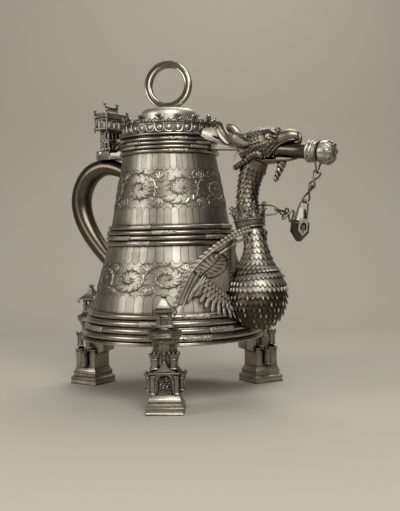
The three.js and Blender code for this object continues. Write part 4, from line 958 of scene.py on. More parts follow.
    def ring(self) -> None:
        """The upright ring with bevelled edges, on its riveted stem."""
        centre = self.ring_top - self.ring_radius - self.ring_section
        section = [
            (3.6, 0), (3.7, 2.4), (4.2, 3.0), (4.2, 3.8), (3.3, 4.2), (2.2, 3.7), (-1.8, 3.7), (-2.9, 4.2),
            (-3.8, 3.8), (-3.8, 3.0), (-3.2, 2.4), (-3.1, 0)]
        section += [(r, -y) for r, y in reversed(section[1:-1])]
        loop = turned([(self.ring_radius + r, y) for r, y in section], 96)
        form = Form()
        form.add(loop, shift(z=centre) @ spin_about("X", 90))
        low = self.boss_top
        form.add(turned([
            (0, low - 4), (4.4, low - 4), (4.4, low - 2.4), (2.4, low - 2.3), (2.4, low + 0.5),
            (5.6, low + 0.6), (6.2, low + 1.4), (5.2, low + 2.4), (4.4, low + 3.6), (0, low + 5)], 40))
        form.move(spin_about("Z", self.ring_turn))
        # Painted dark reflection: the ring wears the darker turned copy.
        form.piece("lifting_ring", Body.RING, TURNED, "lid_ring")


def moulded(profile: Profile, half_x: float, half_y: float) -> Form:
    """A four-sided moulding.

    Args:
        profile: Offsets from the sides and heights, from the foot up.
        half_x: Half its size along X.
        half_y: Half its size along Y.

    Returns:
        The closed moulding.
    """
    small = min(half_x, half_y)
    form = turned(
        [(0, profile[0][1]), *[(small + out, z) for out, z in profile], (0, profile[-1][1])], 4, flats=True)
    for vert in form.bm.verts:
        if abs(vert.co.x) > 1e-3:
            vert.co.x += math.copysign(half_x - small, vert.co.x)
            vert.co.y += math.copysign(half_y - small, vert.co.y)
    return form


def arcade(width: float, height: float, bays: int, opening: float, spring: float, count: int = 7) -> Profile:
    """A wall's outline with a row of round-headed openings that reach its foot."""
    pitch = width / bays
    points = [(-width / 2, height), (-width / 2, 0)]
    for bay in range(bays):
        middle = (bay + 0.5) * pitch - width / 2
        points.append((middle - opening / 2, 0))
        points += arc((middle, spring), (opening / 2, opening / 2), 180, 0, count)
        points.append((middle + opening / 2, 0))
    return [*points, (width / 2, 0), (width / 2, height)]


def leafy_turret(radius: float, low: float, high: float, corbel: float, leaves: int = 8) -> Form:
    """A round turret on a corbel, with a wide foot ring and a flaring crown of leaves.

    Args:
        radius: The drum's radius.
        low: Where the foot ring starts.
        high: The tips of the leaves.
        corbel: How far the corbel hangs below the ring.
        leaves: How many leaves the crown has.

    Returns:
        The turret, round the Z axis.
    """
    form = turned([
        (0, low - corbel), (0.8, low - corbel), (1.4, low - corbel * 0.6),
        (radius - 1.4, low - corbel * 0.25), *arc((radius, low + 1.1), (1.3, 1.1), -90, 90, 7),
        (radius - 0.2, low + 3.0), (radius - 0.2, high - 9.6),
        *arc((radius - 0.1, high - 8.9), (0.7, 0.7), -90, 90, 5), (radius, high - 7.6),
        (radius + 0.9, high - 5.2), (radius + 1.2, high - 3.4), (radius + 0.4, high - 3.2),
        (radius - 1.0, high - 5.0), (0, high - 5.2)],
        24)
    leaf = turned([(0, 0), (1.0, 0.3), (1.35, 1.6), (0.9, 3.2), (0.35, 4.4), (0, 4.7)], 8)
    form.stamp(leaf, [m @ spin_about("Y", 9) for m in around(leaves, radius + 0.7, high - 4.7)])
    form.stamp(ball(0.75, sides=8), around(leaves, radius + 1.1, high - 5.6, 180 / leaves))
    slit = block((-0.6, -0.9, low + 3.8), (0.3, 0.9, high - 10.4), 0.15)
    return form.stamp(slit, around(4, radius, 0, 45))


@dataclass
class GateFoot:
    """A gate tower that carries the vessel: stepped plinth, gatehouse, eight-sided tower and lantern."""

    number: int
    degrees: float
    away: float = 130.1
    plinth_half: float = 21.4
    plinth_line: Profile = (
        (0, 0), (0, 1.4), (-0.5, 1.9), (-0.5, 6.8), (-0.1, 7.2), (-0.1, 8.0), (-0.9, 8.5), (-2.6, 10.4),
        (-3.1, 10.6), (-3.1, 14.2), (-2.6, 14.6), (-2.6, 15.6), (-3.4, 16.3), (-4.5, 18.2), (-4.5, 19.2),
        (-5.2, 19.8), (-5.2, 21.2))
    gate_half: float = 15.5
    gate_foot: float = 21.5
    gate_top: float = 46.0
    niche: float = 15.2
    spring: float = 13.6
    turret_out: float = 17.4
    turret_radius: float = 4.9
    bartizan_at: float = 10.4
    bartizan_radius: float = 5.2
    shaft_half: float = 13.4
    deck_low: float = 80.0
    deck_top: float = 94.5
    deck_half: float = 19.0
    lantern_half: float = 8.3
    lantern_top: float = 112.0
    eaves: float = 12.0
    apex: float = 127.0
    tip: float = 132.4
    courses: int = 7

    def build(self) -> None:
        """Makes the foot's four pieces and sets them on the floor."""
        place = spin_about("Z", self.degrees) @ shift(self.away)
        for part, form in (
            ("plinth", self.plinth()), ("gatehouse", self.gatehouse()),
            ("tower", self.tower()), ("roof", self.roof()),
        ):
            name = f"foot_{self.number}_{part}"
            form.move(place).piece(f"gate_{name}", Body.VESSEL, STEPPED if part == "plinth" else CAST, name)

    def plinth(self) -> Form:
        """The stepped plinth, with a sunk panel in each side of both steps."""
        form = moulded(self.plinth_line, self.plinth_half, self.plinth_half)
        upright = [f for f in form.bm.faces if abs(f.normal.z) < 0.1 and f.calc_area() > 100]
        form.recess(upright, 1.5, 0.8)
        return form.soften(0.22, 2)

    def gatehouse(self) -> Form:
        """The lower block with its gateway, gable, side turrets and the bracket under the flange."""
        half, foot, top = self.gate_half, self.gate_foot, self.gate_top
        form = Form()
        form.add(block((-half, -half, foot), (half - 3.4, half, top - 1), 0.3))
        rise = top - 1.6 - foot
        for depth, out, opening in (
                (half - 3.5, half - 1.7, self.niche), (half - 1.8, half - 0.5, self.niche + 2.6)):
            wall = plate(arcade(2 * half, rise, 1, opening, self.spring, 17), out - depth, 0.2)
            form.add(wall, shift(depth, 0, foot) @ STANDING)
        roll = [Vector((half - 0.5, y, foot + z)) for y, z in arc((0, self.spring), (9.4, 9.4), 0, 180, 15)]
        form.add(wire(roll, 0.85, 8, count=28))
        form.stamp(
            ball(1.35, sides=10), [shift(half - 0.2, s * 9.6, foot + self.spring - 0.6) for s in (-1, 1)])
        for side in (-1, 1):
            form.add(self.pilaster(), shift(half - 0.3, side * 13.2, foot))
        form.add(self.relief(), shift(half - 3.4, 0, foot))
        cornice = (
            (0, top - 3.0), (0.7, top - 2.5), (0.7, top - 1.9), (1.5, top - 1.2), (1.5, top - 0.3),
            (0.9, top))
        form.add(moulded(cornice, half, half).soften(0.15, 1))
        form.add(self.gable())
        form.add(self.bracket())
        turret = leafy_turret(self.turret_radius, 24.2, top + 1.4, 2.6)
        form.stamp(turret, [shift(0, side * self.turret_out) for side in (-1, 1)])
        return form

    def pilaster(self) -> Form:
        """A flat pilaster with a base and a capital."""
        tall = self.gate_top - 3.4 - self.gate_foot
        line = (
            (0.5, 0), (0.5, 1.2), (0, 1.8), (0, tall - 2.2), (0.5, tall - 1.6), (0.5, tall - 0.8),
            (0.9, tall))
        form = moulded(line, 1.1, 1.9)
        form.recess([f for f in form.bm.faces if abs(f.normal.x) > 0.9 and f.calc_area() > 30], 0.7, 0.35)
        return form.soften(0.12, 1)

    def relief(self) -> Form:
        """The filling of the gateway: steps, a row of little bars, and rough foliage in rows of knobs."""
        form = Form()
        wide = self.niche / 2
        for step, (out, high) in enumerate(((3.2, 1.5), (2.3, 2.9), (1.4, 4.2))):
            form.add(block((-0.2, step * 0.5 - wide, 0), (out, wide - step * 0.5, high), 0.15))
        form.stamp(block((0, -0.45, 4.2), (1.3, 0.45, 6.4), 0.15), [shift(0, -6 + 2 * k) for k in range(7)])
        form.add(block((0, 1 - wide, 6.2), (1.7, wide - 1, 7.1), 0.2))
        for row in range(6):
            z = 8.4 + row * 2.1
            reach = wide - 1.4 if z < self.spring else math.sqrt(max(
                wide ** 2 - (z - self.spring) ** 2, 0)) - 1.6
            knobs = max(int(2 * reach / 2.3), 1)
            for k in range(knobs):
                y = (k - (knobs - 1) / 2) * 2.3 + 0.5 * math.sin(row * 2.1 + k)
                size = 0.95 + 0.4 * math.sin(row * 1.7 + k * 2.9)
                at = (0.3 + 0.3 * size, y, z + 0.4 * math.cos(k * 2.3))
                form.add(ball(size, at, 0.8 + 0.3 * math.sin(k + row), 8))
        return form

    def gable(self) -> Form:
        """The gable over the gateway, with hollow sides, and the knobbed pinnacle on it."""
        top = self.gate_top
        side = [(12.8, 0), (12.8, 0.9), (9.2, 1.9), (6.4, 3.8), (4.0, 6.6), (2.2, 10.0), (1.0, 12.6)]
        outline = [*side, *[(-x, y) for x, y in reversed(side)]]
        form = Form()
        form.add(plate(outline, 3.6, 0.35), shift(self.gate_half - 3.2, 0, top - 0.1) @ STANDING)
        inner = [(x * 0.62, 1.4 + y * 0.62) for x, y in outline]
        form.add(plate(inner, 0.7, 0.2), shift(self.gate_half + 0.3, 0, top - 0.1) @ STANDING)
        pin = turned([
            (0, 10), (1.2, 10), (0.9, 13.4), (1.0, 14.4), (2.0, 15.6), (0.9, 16.8), (0.8, 18.4), (1.4, 19.0),
            (2.3, 20.4), (2.1, 21.8), (0.8, 22.6), (0, 23)], 12)
        return form.add(pin, shift(self.gate_half - 1.6, 0, top))

    def bracket(self) -> Form:
        """The block behind the tower, which reaches in under the flange."""
        back, half, top = -self.gate_half - 12, self.gate_half - 4, self.gate_top
        outline = [
            (back, top - 1), (-self.gate_half + 1, top - 6), (-13.5, top - 6), (-13.5, 70.1), (back, 70.1)]
        form = Form()
        return form.add(plate(outline, 2 * half, 0.4), shift(0, half) @ spin_about("X", 90))

    def tower(self) -> Form:
        """The eight-sided shaft with dark windows, two bartizans, a row of beads and the tiled deck."""
        low, top, half = self.deck_low, self.deck_top, self.deck_half
        form = Form()
        shaft = turned([
            (0, self.gate_top + 0.3), (14.2, self.gate_top + 0.3), (14.2, 47.6), (13.4, 48.4), (13.4, 76.6),
            (14.2, 77.4), (14.2, 78.2), (0, 78.2)], 8, flats=True)
        tall = [f for f in shaft.bm.faces if abs(f.normal.z) < 0.1 and f.calc_area() > 200]
        shaft.recess(tall, 1.3, 0.5)
        shaft.recess([f for f in tall if abs(f.normal.x) < 0.9 and abs(f.normal.y) < 0.9], 2.0, 2.2)
        form.add(shaft.soften(0.2, 1))
        form.stamp(self.slit(), around(4, self.shaft_half - 0.6, 60))
        deck = turned([
            (0, 77.5), (13.6, 77.5), (14.4, 79.0), (15.2, 81.4), (17.6, 83.4), (18.2, 84.0), (18.6, 84.2),
            (half, 84.8), (half, 85.8), (18.4, 86.2), (18.4, 86.8), (half, 87.2), (half, 88.3), (18.5, 88.7),
            (11.0, top - 1), (10.8, top - 0.4), (10.2, top), (0, top)], 8, flats=True)
        form.add(deck.soften(0.2, 1))
        form.stamp(ball(1.05, sides=8), around(16, 14.9, low - 0.1, 11.25))
        for face in range(8):
            turn = spin_about("Z", 45 * face)
            row = [turn @ shift(18.0, -6.6 + 2.2 * k, 89.6) for k in range(7)]
            form.stamp(ball(0.8, (0, 0, 0), 1.3, 8), row)
            hip = upright(((20.2, 88.6), (16.0, 91.4), (11.6, 94.2)))
            form.add(wire(hip, 0.45, 6, count=6), turn @ spin_about("Z", 22.5))
            for course in range(1, 4):
                at = 18.5 - 7.5 * course / 4
                roll = [Vector((at, y * at * 0.4142, 88.9 + 5.0 * course / 4)) for y in (-1, 0, 1)]
                form.add(wire(roll, 0.28, 6, count=5), turn)
        bartizan = leafy_turret(self.bartizan_radius, 49.4, 69.6, 2.6)
        at = self.bartizan_at
        form.stamp(bartizan, [shift(at, side * at) for side in (-1, 1)])
        return form

    def slit(self) -> Form:
        """A blind window with a frame, on the shaft's flat sides."""
        form = Form()
        form.add(plate(arch_outline(5.2, 0, 9, 2.6), 0.8, 0.2), STANDING)
        inner = plate(arch_outline(3.0, 1.2, 8.4, 1.5), 0.6, 0.15)
        return form.add(inner, shift(0.6) @ STANDING)

    def roof(self) -> Form:
        """The open lantern, its flared roof in courses of tiles, corner hooks and leafy finial."""
        half, top, foot = self.lantern_half, self.lantern_top, self.deck_top + 0.3
        form = Form()
        base = ((1.4, foot), (1.4, foot + 1.2), (0.7, foot + 1.8), (0.2, foot + 2.6), (0.2, foot + 3.0))
        form.add(moulded(base, half, half).soften(0.15, 1))
        parapet = block((-half + 0.6, -half + 0.6, foot + 2), (half - 0.6, half - 0.6, 103.4))
        parapet.recess([f for f in parapet.bm.faces if abs(f.normal.z) < 0.1], 4.2, 0.5)
        form.add(parapet)
        post = block((half - 4.3, half - 4.3, foot + 2), (half, half, top), 0.25)
        form.stamp(post, [spin_about("Z", 90 * k) for k in range(4)])
        sill = ((-0.2, 103.2), (0.4, 103.5), (0.4, 104.1), (-0.2, 104.4))
        form.add(moulded(sill, half, half))
        lintel = ((-0.4, 109.2), (-0.1, 109.6), (-0.1, 110.6), (0.8, 111.2), (0.8, top))
        form.add(moulded(lintel, half, half))
        form.add(self.tiled_roof())
        hook = upright((
            (15.8, 112.6), (17.6, 112.0), (18.6, 110.2), (18.0, 108.4), (16.6, 108.2), (16.0, 109.4),
            (16.8, 110.2)))
        form.stamp(wire(hook, lambda share: 0.85 - 0.3 * share, 8, count=16), around(4, 0, 0, 45))
        form.add(turned([
            (0, 124.6), (1.6, 125), (1.15, self.apex), (2.3, 128.1), (2.3, 128.7), (1.0, 129.6), (0.7, 130.4),
            (1.3, 131.2), (0.9, 132), (0, self.tip)], 14))
        leaf = upright(((1.0, 127.2), (2.8, 128.4), (3.6, 130.2), (2.9, 131.2), (2.3, 130.4)))
        return form.stamp(wire(leaf, lambda share: 0.8 - 0.3 * share, 6, count=10), around(4, 0, 0, 0))

    def tiled_roof(self) -> Form:
        """The four hollow slopes, each course of tiles lying a little proud of the next one up."""
        top = self.lantern_top
        curve = spline([(self.eaves, 1.6), (9.0, 3.4), (6.4, 6.2), (4.2, 9.6), (2.4, 12.8), (1.3, 15.0)],
                       2 * self.courses + 1)
        line = [(0, top - 0.4), (self.eaves - 0.6, top - 0.4), (self.eaves, top), (self.eaves, top + 1.0)]
        for course in range(self.courses):
            (r0, z0), (r1, z1) = curve[2 * course], curve[2 * course + 2]
            line += [(r0, top + z0), (r1 + 0.35, top + z1 - 0.1)]
        line.append((0, top + 15.4))
        form = turned(line, 4, flats=True)
        ridge = [Vector((r * math.sqrt(2), 0, top + z)) for r, z in curve[::2]]
        return form.stamp(wire(ridge, 0.5, 6, count=18), around(4, 0, 0, 45))


@dataclass
class Handle:
    """The swelling hollow handle, planished smooth."""

    stations = (
        (-50, 266, 7.6), (-62, 273, 8.2), (-80, 283, 9.5), (-103, 287, 11), (-125, 279, 13),
        (-139, 262, 13.6), (-144, 243, 13.6), (-141, 224, 13.2), (-132, 205, 12.5), (-118, 186, 11.5),
        (-101, 168, 10.5), (-86, 155, 10), (-74, 145, 9.6),)

    def build(self) -> None:
        """Makes the handle."""
        # Painted dark reflection: the handle wears the darker copy of the silver.
        limb(self.stations, 48, 72).piece("bow_handle", Body.VESSEL, DARK_REFLECTION, "handle")


def cupped(
        points: Sequence[Vector], faces: Sequence[Vector], width: Callable[[float], float], curl: float,
        thick: float, across: int = 10, count: int = 18,) -> Form:
    """A leaf whose edges curl towards its face.

    Args:
        points: The points of its middle line.
        faces: The way its hollow face looks at each of them.
        width: Half its width as a function of the share of its length.
        curl: How far each edge is turned up, in degrees.
        thick: Its thickness.
        across: Faces across it.
        count: Rows along it.

    Returns:
        The leaf, as a closed shell.
    """
    line = [Vector(p) for p in spline(points, count)]
    looks = [Vector(p).normalized() for p in spline(faces, count)]
    form = Form()
    bmesh.ops.create_grid(form.bm, x_segments=across, y_segments=count - 1, size=1.0)
    bend = math.radians(curl)
    for vert in form.bm.verts:
        share = (vert.co.y + 1) / 2
        row = min(max(round(share * (count - 1)), 0), count - 1)
        along = (line[min(row + 1, count - 1)] - line[max(row - 1, 0)]).normalized()
        side = along.cross(looks[row]).normalized()
        out = side.cross(along)
        angle = vert.co.x * bend
        radius = max(width(row / (count - 1)), 0.05) / bend
        vert.co = line[row] + side * math.sin(angle) * radius + out * (1 - math.cos(angle)) * radius
    form.outward()
    bmesh.ops.solidify(form.bm, geom=form.bm.faces, thickness=thick)
    form.outward()
    return form


def shingles(
    stations: Sequence[Sequence[float]], step: float, wide: Callable[[float], float], grow: Sequence[float],
    span: tuple[float, float] = (0.0, 1.0), sink: float = 0.0,
) -> list[Matrix]:
    """Places for overlapping scales on a limb, whose tips point to the limb's start.

    Args:
        stations: The limb's stations.
        step: The way from row to row along the limb's side.
        wide: The width of a scale as a function of the share of the limb's length.
        grow: A scale's thickness in millimetres, and its width and length relative to its own row.
        span: The shares of the limb's length between which it has scales.
        sink: How far the scales are set into the limb.

    Returns:
        One place for each scale, sized for a scale of unit width and length.
    """
    rings = limb_places(stations, 200)
    sides = [ring @ Vector((1, 0, 0)) for ring in rings]
    run = [0.0]
    for before, after in zip(sides, sides[1:]):
        run.append(run[-1] + (after - before).length)
    rows = int(run[-1] * (span[1] - span[0]) / step)
    marks = [run[-1] * span[0] + step * row for row in range(rows + 1)]
    chosen = [rings[min(range(len(run)), key=lambda i, m=mark: abs(run[i] - m))] for mark in marks]
    places = []
    for row, (low, high) in enumerate(zip(chosen, chosen[1:])):
        size = (low.col[0].length + low.col[1].length) / 2
        count = max(int(TAU * size / wide(marks[row] / run[-1])), 6)
        for k in range(count):
            angle = TAU * (k + 0.5 * (row % 2)) / count
            here, there = (ring @ Vector((math.cos(angle), math.sin(angle), 0)) for ring in (low, high))
            beside = low @ Vector((math.cos(angle + 0.1), math.sin(angle + 0.1), 0))
            along = there - here
            out = (beside - here).cross(along).normalized()
            if out.dot(here - low.translation) < 0:
                out.negate()
            length = min(along.length, step * 1.5)
            along.normalize()
            round_it = along.cross(out)
            place = facing(
                here.lerp(there, 0.55) - out * sink, out * grow[0], round_it * TAU * size / count * grow[1])
            place.col[2][:3] = along * max(length, step * 0.6) * grow[2]
            places.append(place)
    return places


@dataclass
class Dragon:
    """The scaled dragon whose neck is the spout: body, neck, crown, head and wings."""

    body_line = (
        (121, 84.7, 3), (121.4, 87.5, 15), (121.8, 95, 24), (122.2, 106, 30.2), (122.4, 118, 33.2),
        (122.4, 130, 33.4), (122.2, 142, 30.6), (121.4, 154, 25), (121.8, 165, 18.0), (121.6, 176, 14.0),
        (120.2, 187, 12.0), (118.0, 198, 11.4), (116, 206, 12.0),)
    neck_line = (
        (116.4, 203, 12.4), (115, 208, 12.2), (112.4, 218, 11.6), (110.6, 230, 11.2), (111, 243, 11),
        (113.4, 256, 11.4), (117, 268, 12.4), (121.4, 278, 14), (124, 284, 15),)
    head_line = (
        (104.4, 288, 3, 4), (106.6, 289.6, 9, 10), (111, 292, 14, 14.6), (118, 295.6, 18.2, 17),
        (127, 298.6, 20.2, 17.4), (137, 301.2, 18.4, 16.6), (145, 303.0, 16.4, 15.2),
        (152, 304.4, 13.4, 13.2), (158.6, 305.2, 9.4, 10.6),)
    snout_line = (
        (147, 304.4, 10, 10), (152, 305.0, 11.4, 11.8), (158, 305.8, 10.6, 11.2), (164, 307.4, 9.6, 10.4),
        (170, 308.4, 8.4, 9.2), (175.6, 307.6, 6.4, 6.8), (179.4, 305.2, 3.2, 3.6), (181, 303.6, 0.6, 0.8),
    )
    jaw_line = (
        (131, 284, 5.4, 11), (138, 281.6, 4.4, 10.8), (146, 280.6, 3.0, 9.8), (155, 280.4, 1.9, 8),
        (164, 280.5, 1.3, 5.8), (171, 281, 0.9, 3.4), (177.2, 282, 0.4, 0.5),)
    eye: tuple[float, float, float] = (146.4, 13.8, 308.6)
    eye_radius: float = 3.3
    belly_top: float = 134.0
    crown_low: float = 202.2
    crown_radius: float = 17.2
    crown_lean: float = -9.0
    crown_x: float = 114.8
    bud: tuple[float, float] = (133.0, 197.0)
    crown_leaves: int = 9

    def build(self) -> None:
        """Makes the dragon from the belly up."""
        self.body()
        self.neck()
        self.crown()
        self.head()
        self.snout()
        for side, word in ((-1, "near"), (1, "far")):
            self.ear(side).piece(f"{word}_leaf_ear", Body.VESSEL, CUPPED, f"{word}_ear")
            # Painted highlight: the eyeballs wear the bright frosted copy.
            self.eyeball(side).piece(f"{word}_eyeball", Body.VESSEL, FROST_AND_HIGHLIGHT, f"{word}_eye")
            Wing(side).build(word)
        self.jaw()
        self.beard()
        self.rim_leaf()

    def scale(self, point: float, curl: float) -> Form:
        """One pointed scale of unit width and length, with a keel and a lifted tip.

        Args:
            point: The share of its length where it is widest.
            curl: How far its tip stands out, in millimetres.

        Returns:
            The scale, with its tip towards -Z.
        """
        spine = upright(((-0.6, 0.75), (0.1, 0.1), (curl * 0.55, -0.5), (curl, -0.95)))
        out = Vector((1, 0, 0))

        def half(share: float) -> float:
            if share < point:
                return 0.42 + 0.16 * math.sin(share / point * math.pi / 2)
            return 0.58 * math.cos((share - point) / (1 - point) * math.pi / 2) ** 0.8

        line = [Vector(p) for p in spline(spine, 7)]
        places = []
        for i, here in enumerate(line):
            share = i / 6
            places.append(facing(here, Vector((0, max(half(share), 0.03), 0)), out * (0.75 - 0.35 * share)))
        return swept(places, 4)

    def body(self) -> None:
        """The round body in shingled scales; the belly is painted darker as shade and has beaded tips."""
        form = limb(self.body_line, 40, 48)
        layout = (7.0, lambda share: 6.4 - 2.2 * share, (1.05, 1.1, 1.2))
        everywhere = shingles(self.body_line, *layout, (0.1, 1.0), 0.1)
        low = [m for m in everywhere if m.translation.z < self.belly_top]
        form.stamp(self.scale(0.45, 2.3), [m for m in everywhere if m.translation.z >= self.belly_top])
        leant_on_wall(form).piece("scaled_body", Body.VESSEL, SCALED, "dragon_body")
        # Painted shade: the belly scales below belly_top wear the very dark copy.
        leant_on_wall(Form().stamp(self.scale(0.45, 2.3), low)).piece("belly_scales", Body.VESSEL, DEEP_SHADE)
        drop = ball(1.2, sides=6).move(Matrix.Diagonal((0.8, 0.9, 1.9, 1)))
        beads = Form().stamp(drop, [
            m @ shift(2.2, 0, -0.78) @ unstretched(m) @ Matrix.Scale(0.75 + 0.4 * math.sin(k * 1.9), 4)
            for k, m in enumerate(low) if math.sin(k * 2.3) + math.sin(k * 0.7) > -0.6])
        curls = [m for m in everywhere if self.belly_top <= m.translation.z < self.belly_top + 9]
        beads.stamp(drop, [m @ shift(2.1, 0, -0.6) @ unstretched(m) @ Matrix.Scale(1.25, 4) for m in curls])
        # Painted highlight: the bright frosted beads stand for glints on the belly scales' tips.
        leant_on_wall(beads).piece("belly_beads", Body.VESSEL, FROST_AND_HIGHLIGHT)

    def neck(self) -> None:
        """The bent neck in rows of narrow scales."""
        form = limb(self.neck_line, 32, 40)
        form.stamp(self.scale(0.4, 2.5), shingles(
            self.neck_line, 5.8, lambda share: 4.5, (1.15, 1.12, 1.25), (0.06, 1.0), 0.1))
        # Painted shade: the neck wears the darker copy of the scale silver.
        form.piece("scaled_neck", Body.VESSEL, CURLED, "dragon_neck")

    def crown(self) -> None:
        """The crown round the neck: two rolls, a dotted band, leaves and a bud in front below it."""
        radius = self.crown_radius
        form = turned([
            (radius - 4, 0), (radius - 0.4, 0), *arc((radius, 1.1), (1.2, 1.0), -90, 90, 7),
            (radius - 0.2, 2.4), (radius + 0.6, 8.4), *arc((radius + 1.1, 9.6), (1.2, 1.0), -90, 90, 7),
            (radius + 0.6, 11), (radius + 1.4, 15), (radius + 0.2, 15.4), (radius - 1.4, 10.4),
            (radius - 4, 9)], 72)
        form.stamp(ball(0.8, sides=6), around(26, radius + 0.4, 4.2) + around(26, radius + 0.7, 6.8, 7))
        leaf = self.crown_leaf(18, 5.6)
        form.stamp(leaf, around(self.crown_leaves, radius + 0.6, 10.5))
        form.stamp(
            self.crown_leaf(10.5, 3.6),
            around(self.crown_leaves, radius + 0.5, 10.5, 180 / self.crown_leaves))
        form.move(shift(self.crown_x, 0, self.crown_low + 1) @ spin_about("Y", self.crown_lean))
        bud = Form()
        for k, (x, z, size) in enumerate((
                (0, 0, 2.6), (1.6, 1.6, 2.0), (1.7, -1.7, 1.9), (0.4, 3.2, 1.5), (2.6, 0, 1.3))):
            bud.add(ball(size, (x, 0.8 * math.sin(k * 2.0), z), sides=10))
        form.add(bud, shift(self.bud[0], 0, self.bud[1]))
        form.piece("leafy_crown", Body.VESSEL, CAST, "crown_collar")

    def crown_leaf(self, tall: float, wide: float) -> Form:
        """A lobed leaf with a rib, bending outwards at its tip."""
        form = Form()
        spine = upright(((0, 0), (0.3, tall * 0.4), (1.8, tall * 0.75), (4.4, tall)))

        def half(share: float) -> float:
            lobes = 0.55 + 0.45 * math.sin(share * math.pi * 3.2 + 0.4)
            return wide / 2 * lobes * (1 - share * share) ** 0.5 + 0.5

        form.add(blade(spine, [Vector((1, 0, 0.1))] * 4, half, 0.8, 8, 20))
        form.add(wire([p + Vector((0.5, 0, 0)) for p in spine], lambda share: 0.7 - 0.3 * share, 6, count=10))
        form.add(ball(1.25, (4.6, 0, tall - 0.4), sides=8))
        for side in (-1, 1):
            form.add(ball(0.95, (1.0, side * wide * 0.48, tall * 0.38), sides=8))
            form.add(ball(0.85, (2.2, side * wide * 0.34, tall * 0.68), sides=8))
        return form

    def head(self) -> None:
        """The head: curly skull and cheeks, sockets, brows, a fringe behind the snout and two locks."""
        form = limb(self.head_line, 40, 48)
        curls = [m for m in shingles(self.head_line, 4.3, lambda share: 4.4, (
            1.0, 1.1, 1.3), (0.2, 0.96), 0.2)
                 if not self.bare(m.translation)]
        form.stamp(self.scale(0.35, 2.3), curls)
        beads = Form().stamp(
            ball(0.8, sides=6), [m @ shift(2.4, 0, -0.9) @ unstretched(m) for m in curls[::2]])
        # Painted highlight: the bright frosted beads stand for glints on the curls' tips.
        beads.piece("curl_beads", Body.VESSEL, FROST_AND_HIGHLIGHT)
        for side in (-1, 1):
            x, y, z = self.eye
            socket = oval_points((x, side * (y + 0.6), z), (4.2, 3.8), 12)
            form.add(wire(socket, 1.0, 8, closed=True, count=32))
            brow = [Vector((x + a, side * (y + b), z + c)) for a, b, c in (
                (-7.5, -1.2, 1.6), (-4, -0.6, 5.4), (1.5, -1.6, 6.8), (6.4, -2.6, 4.6), (9.4, -3.4, 1.4))]
            form.add(wire(brow, lambda share: 1.2 + 1.0 * math.sin(share * math.pi), 8, count=20))
            for a, c in ((-6.4, -5.2), (-2.4, -7.4), (2.6, -7.2), (6.6, -4.6)):
                form.add(ball(1.7, (x + a, side * (y - 0.2), z + c), sides=8))
            form.add(self.lock(side))
        fringe = around(15, 12.2, 0, 90)
        tuft = [Vector((0, 0, 0)), Vector((1.8, 0, 1.2)), Vector((2.6, 0, 4.2)), Vector((1.6, 0, 6.0))]
        place = shift(156.0, 0, 304.6) @ spin_about("Y", -84) @ Matrix.Diagonal((0.93, 1.0, 1.0, 1.0))
        upper = [place @ m for m in fringe if (place @ m).translation.z > 300]
        form.stamp(wire(tuft, lambda share: 1.5 - 0.9 * share, 6, count=9), upper)
        # Painted shade: the head wears the darker copy of the scale silver.
        form.piece("curly_head", Body.VESSEL, CURLED, "dragon_head")

    def snout(self) -> None:
        """The smooth snout with its nostrils, rolled lips and hooked nose."""
        form = limb(self.snout_line, 40, 48)
        nose = upright(((172, 311.4), (178.2, 309.6), (181.0, 304.6), (179.8, 300.2), (177.6, 300.6)))
        form.add(wire(nose, lambda share: 3.3 - 2.1 * share, 12, count=20))
        for side in (-1, 1):
            lip = beside(side, (
                (150, 11.4, 291.6), (156, 10.9, 296.4), (163, 9.8, 300.6), (170, 8.2, 303.2),
                (176, 5.0, 303.6)))
            form.add(wire(lip, 0.9, 8, count=20))
            for (nx, ny, nz, size) in ((160.9, 8.6, 308.2, 1.9), (165.2, 6.6, 312.4, 1.5)):
                ring = oval_points((nx, side * ny, nz), (size + 0.5, size), 10)
                form.add(wire(ring, 0.75, 8, closed=True, count=20))
        # Painted shade: the snout wears the darker satin copy.
        form.piece("smooth_snout", Body.VESSEL, SATIN)

    def bare(self, at: Vector) -> bool:
        """Whether a place on the head lies in an eye's socket."""
        x, _, z = self.eye
        return math.hypot(at.x - x, at.z - z) < 6 and abs(at.y) > 9

    def lock(self, side: int) -> Form:
        """The lock of hair behind a cheek, which ends in a ringed, blunt tip."""
        points = beside(side, (
            (139, 12.6, 285.6), (133, 15.6, 289.2), (126, 16.4, 287.6), (117, 15.4, 281.6),
            (108, 13.2, 277.6), (99.4, 11.0, 274.6)))

        def size(share: float) -> float:
            rings = (0.6 if share > 0.5 else 0.3) * math.sin(share * TAU * 11)
            return (5.0 - 2.0 * share + rings) * min(1.0, 0.4 + share * 6) * (1.0 if share < 0.985 else 0.5)

        return wire(points, size, 14, count=110)

    def eyeball(self, side: int) -> Form:
        """A bulging eye with a drilled pupil."""
        x, y, z = self.eye
        form = ball(self.eye_radius, (x, side * (y + 0.8), z), sides=20)
        ring = oval_points((x, side * (y + 3.8), z), (1.5, 1.5), 10)
        return form.add(wire(ring, 0.42, 6, closed=True, count=18))

    def ear(self, side: int) -> Form:
        """A deep leaf ear, standing clear of the skull with its hollow turned up and out."""
        line = beside(side, ((125, 12.5, 301), (116, 16.8, 299.6), (107, 18.8, 303), (100, 18, 312.6)))

        def width(share: float) -> float:
            fade = 1.0 if share < 0.7 else 2.8 - 2.55 * share
            return 5.0 + 12.5 * math.sin(min(share * 1.5, 1.0) * math.pi / 2) * fade

        form = cupped(line, [Vector((0.5, side * 0.28, 0.83))] * 4, width, 112, 1.4, 16, 24)
        rib = [p - Vector((0, side * 0.5, 1.2)) for p in line]
        return form.add(wire(rib, lambda share: 1.3 - 0.8 * share, 8, count=18))

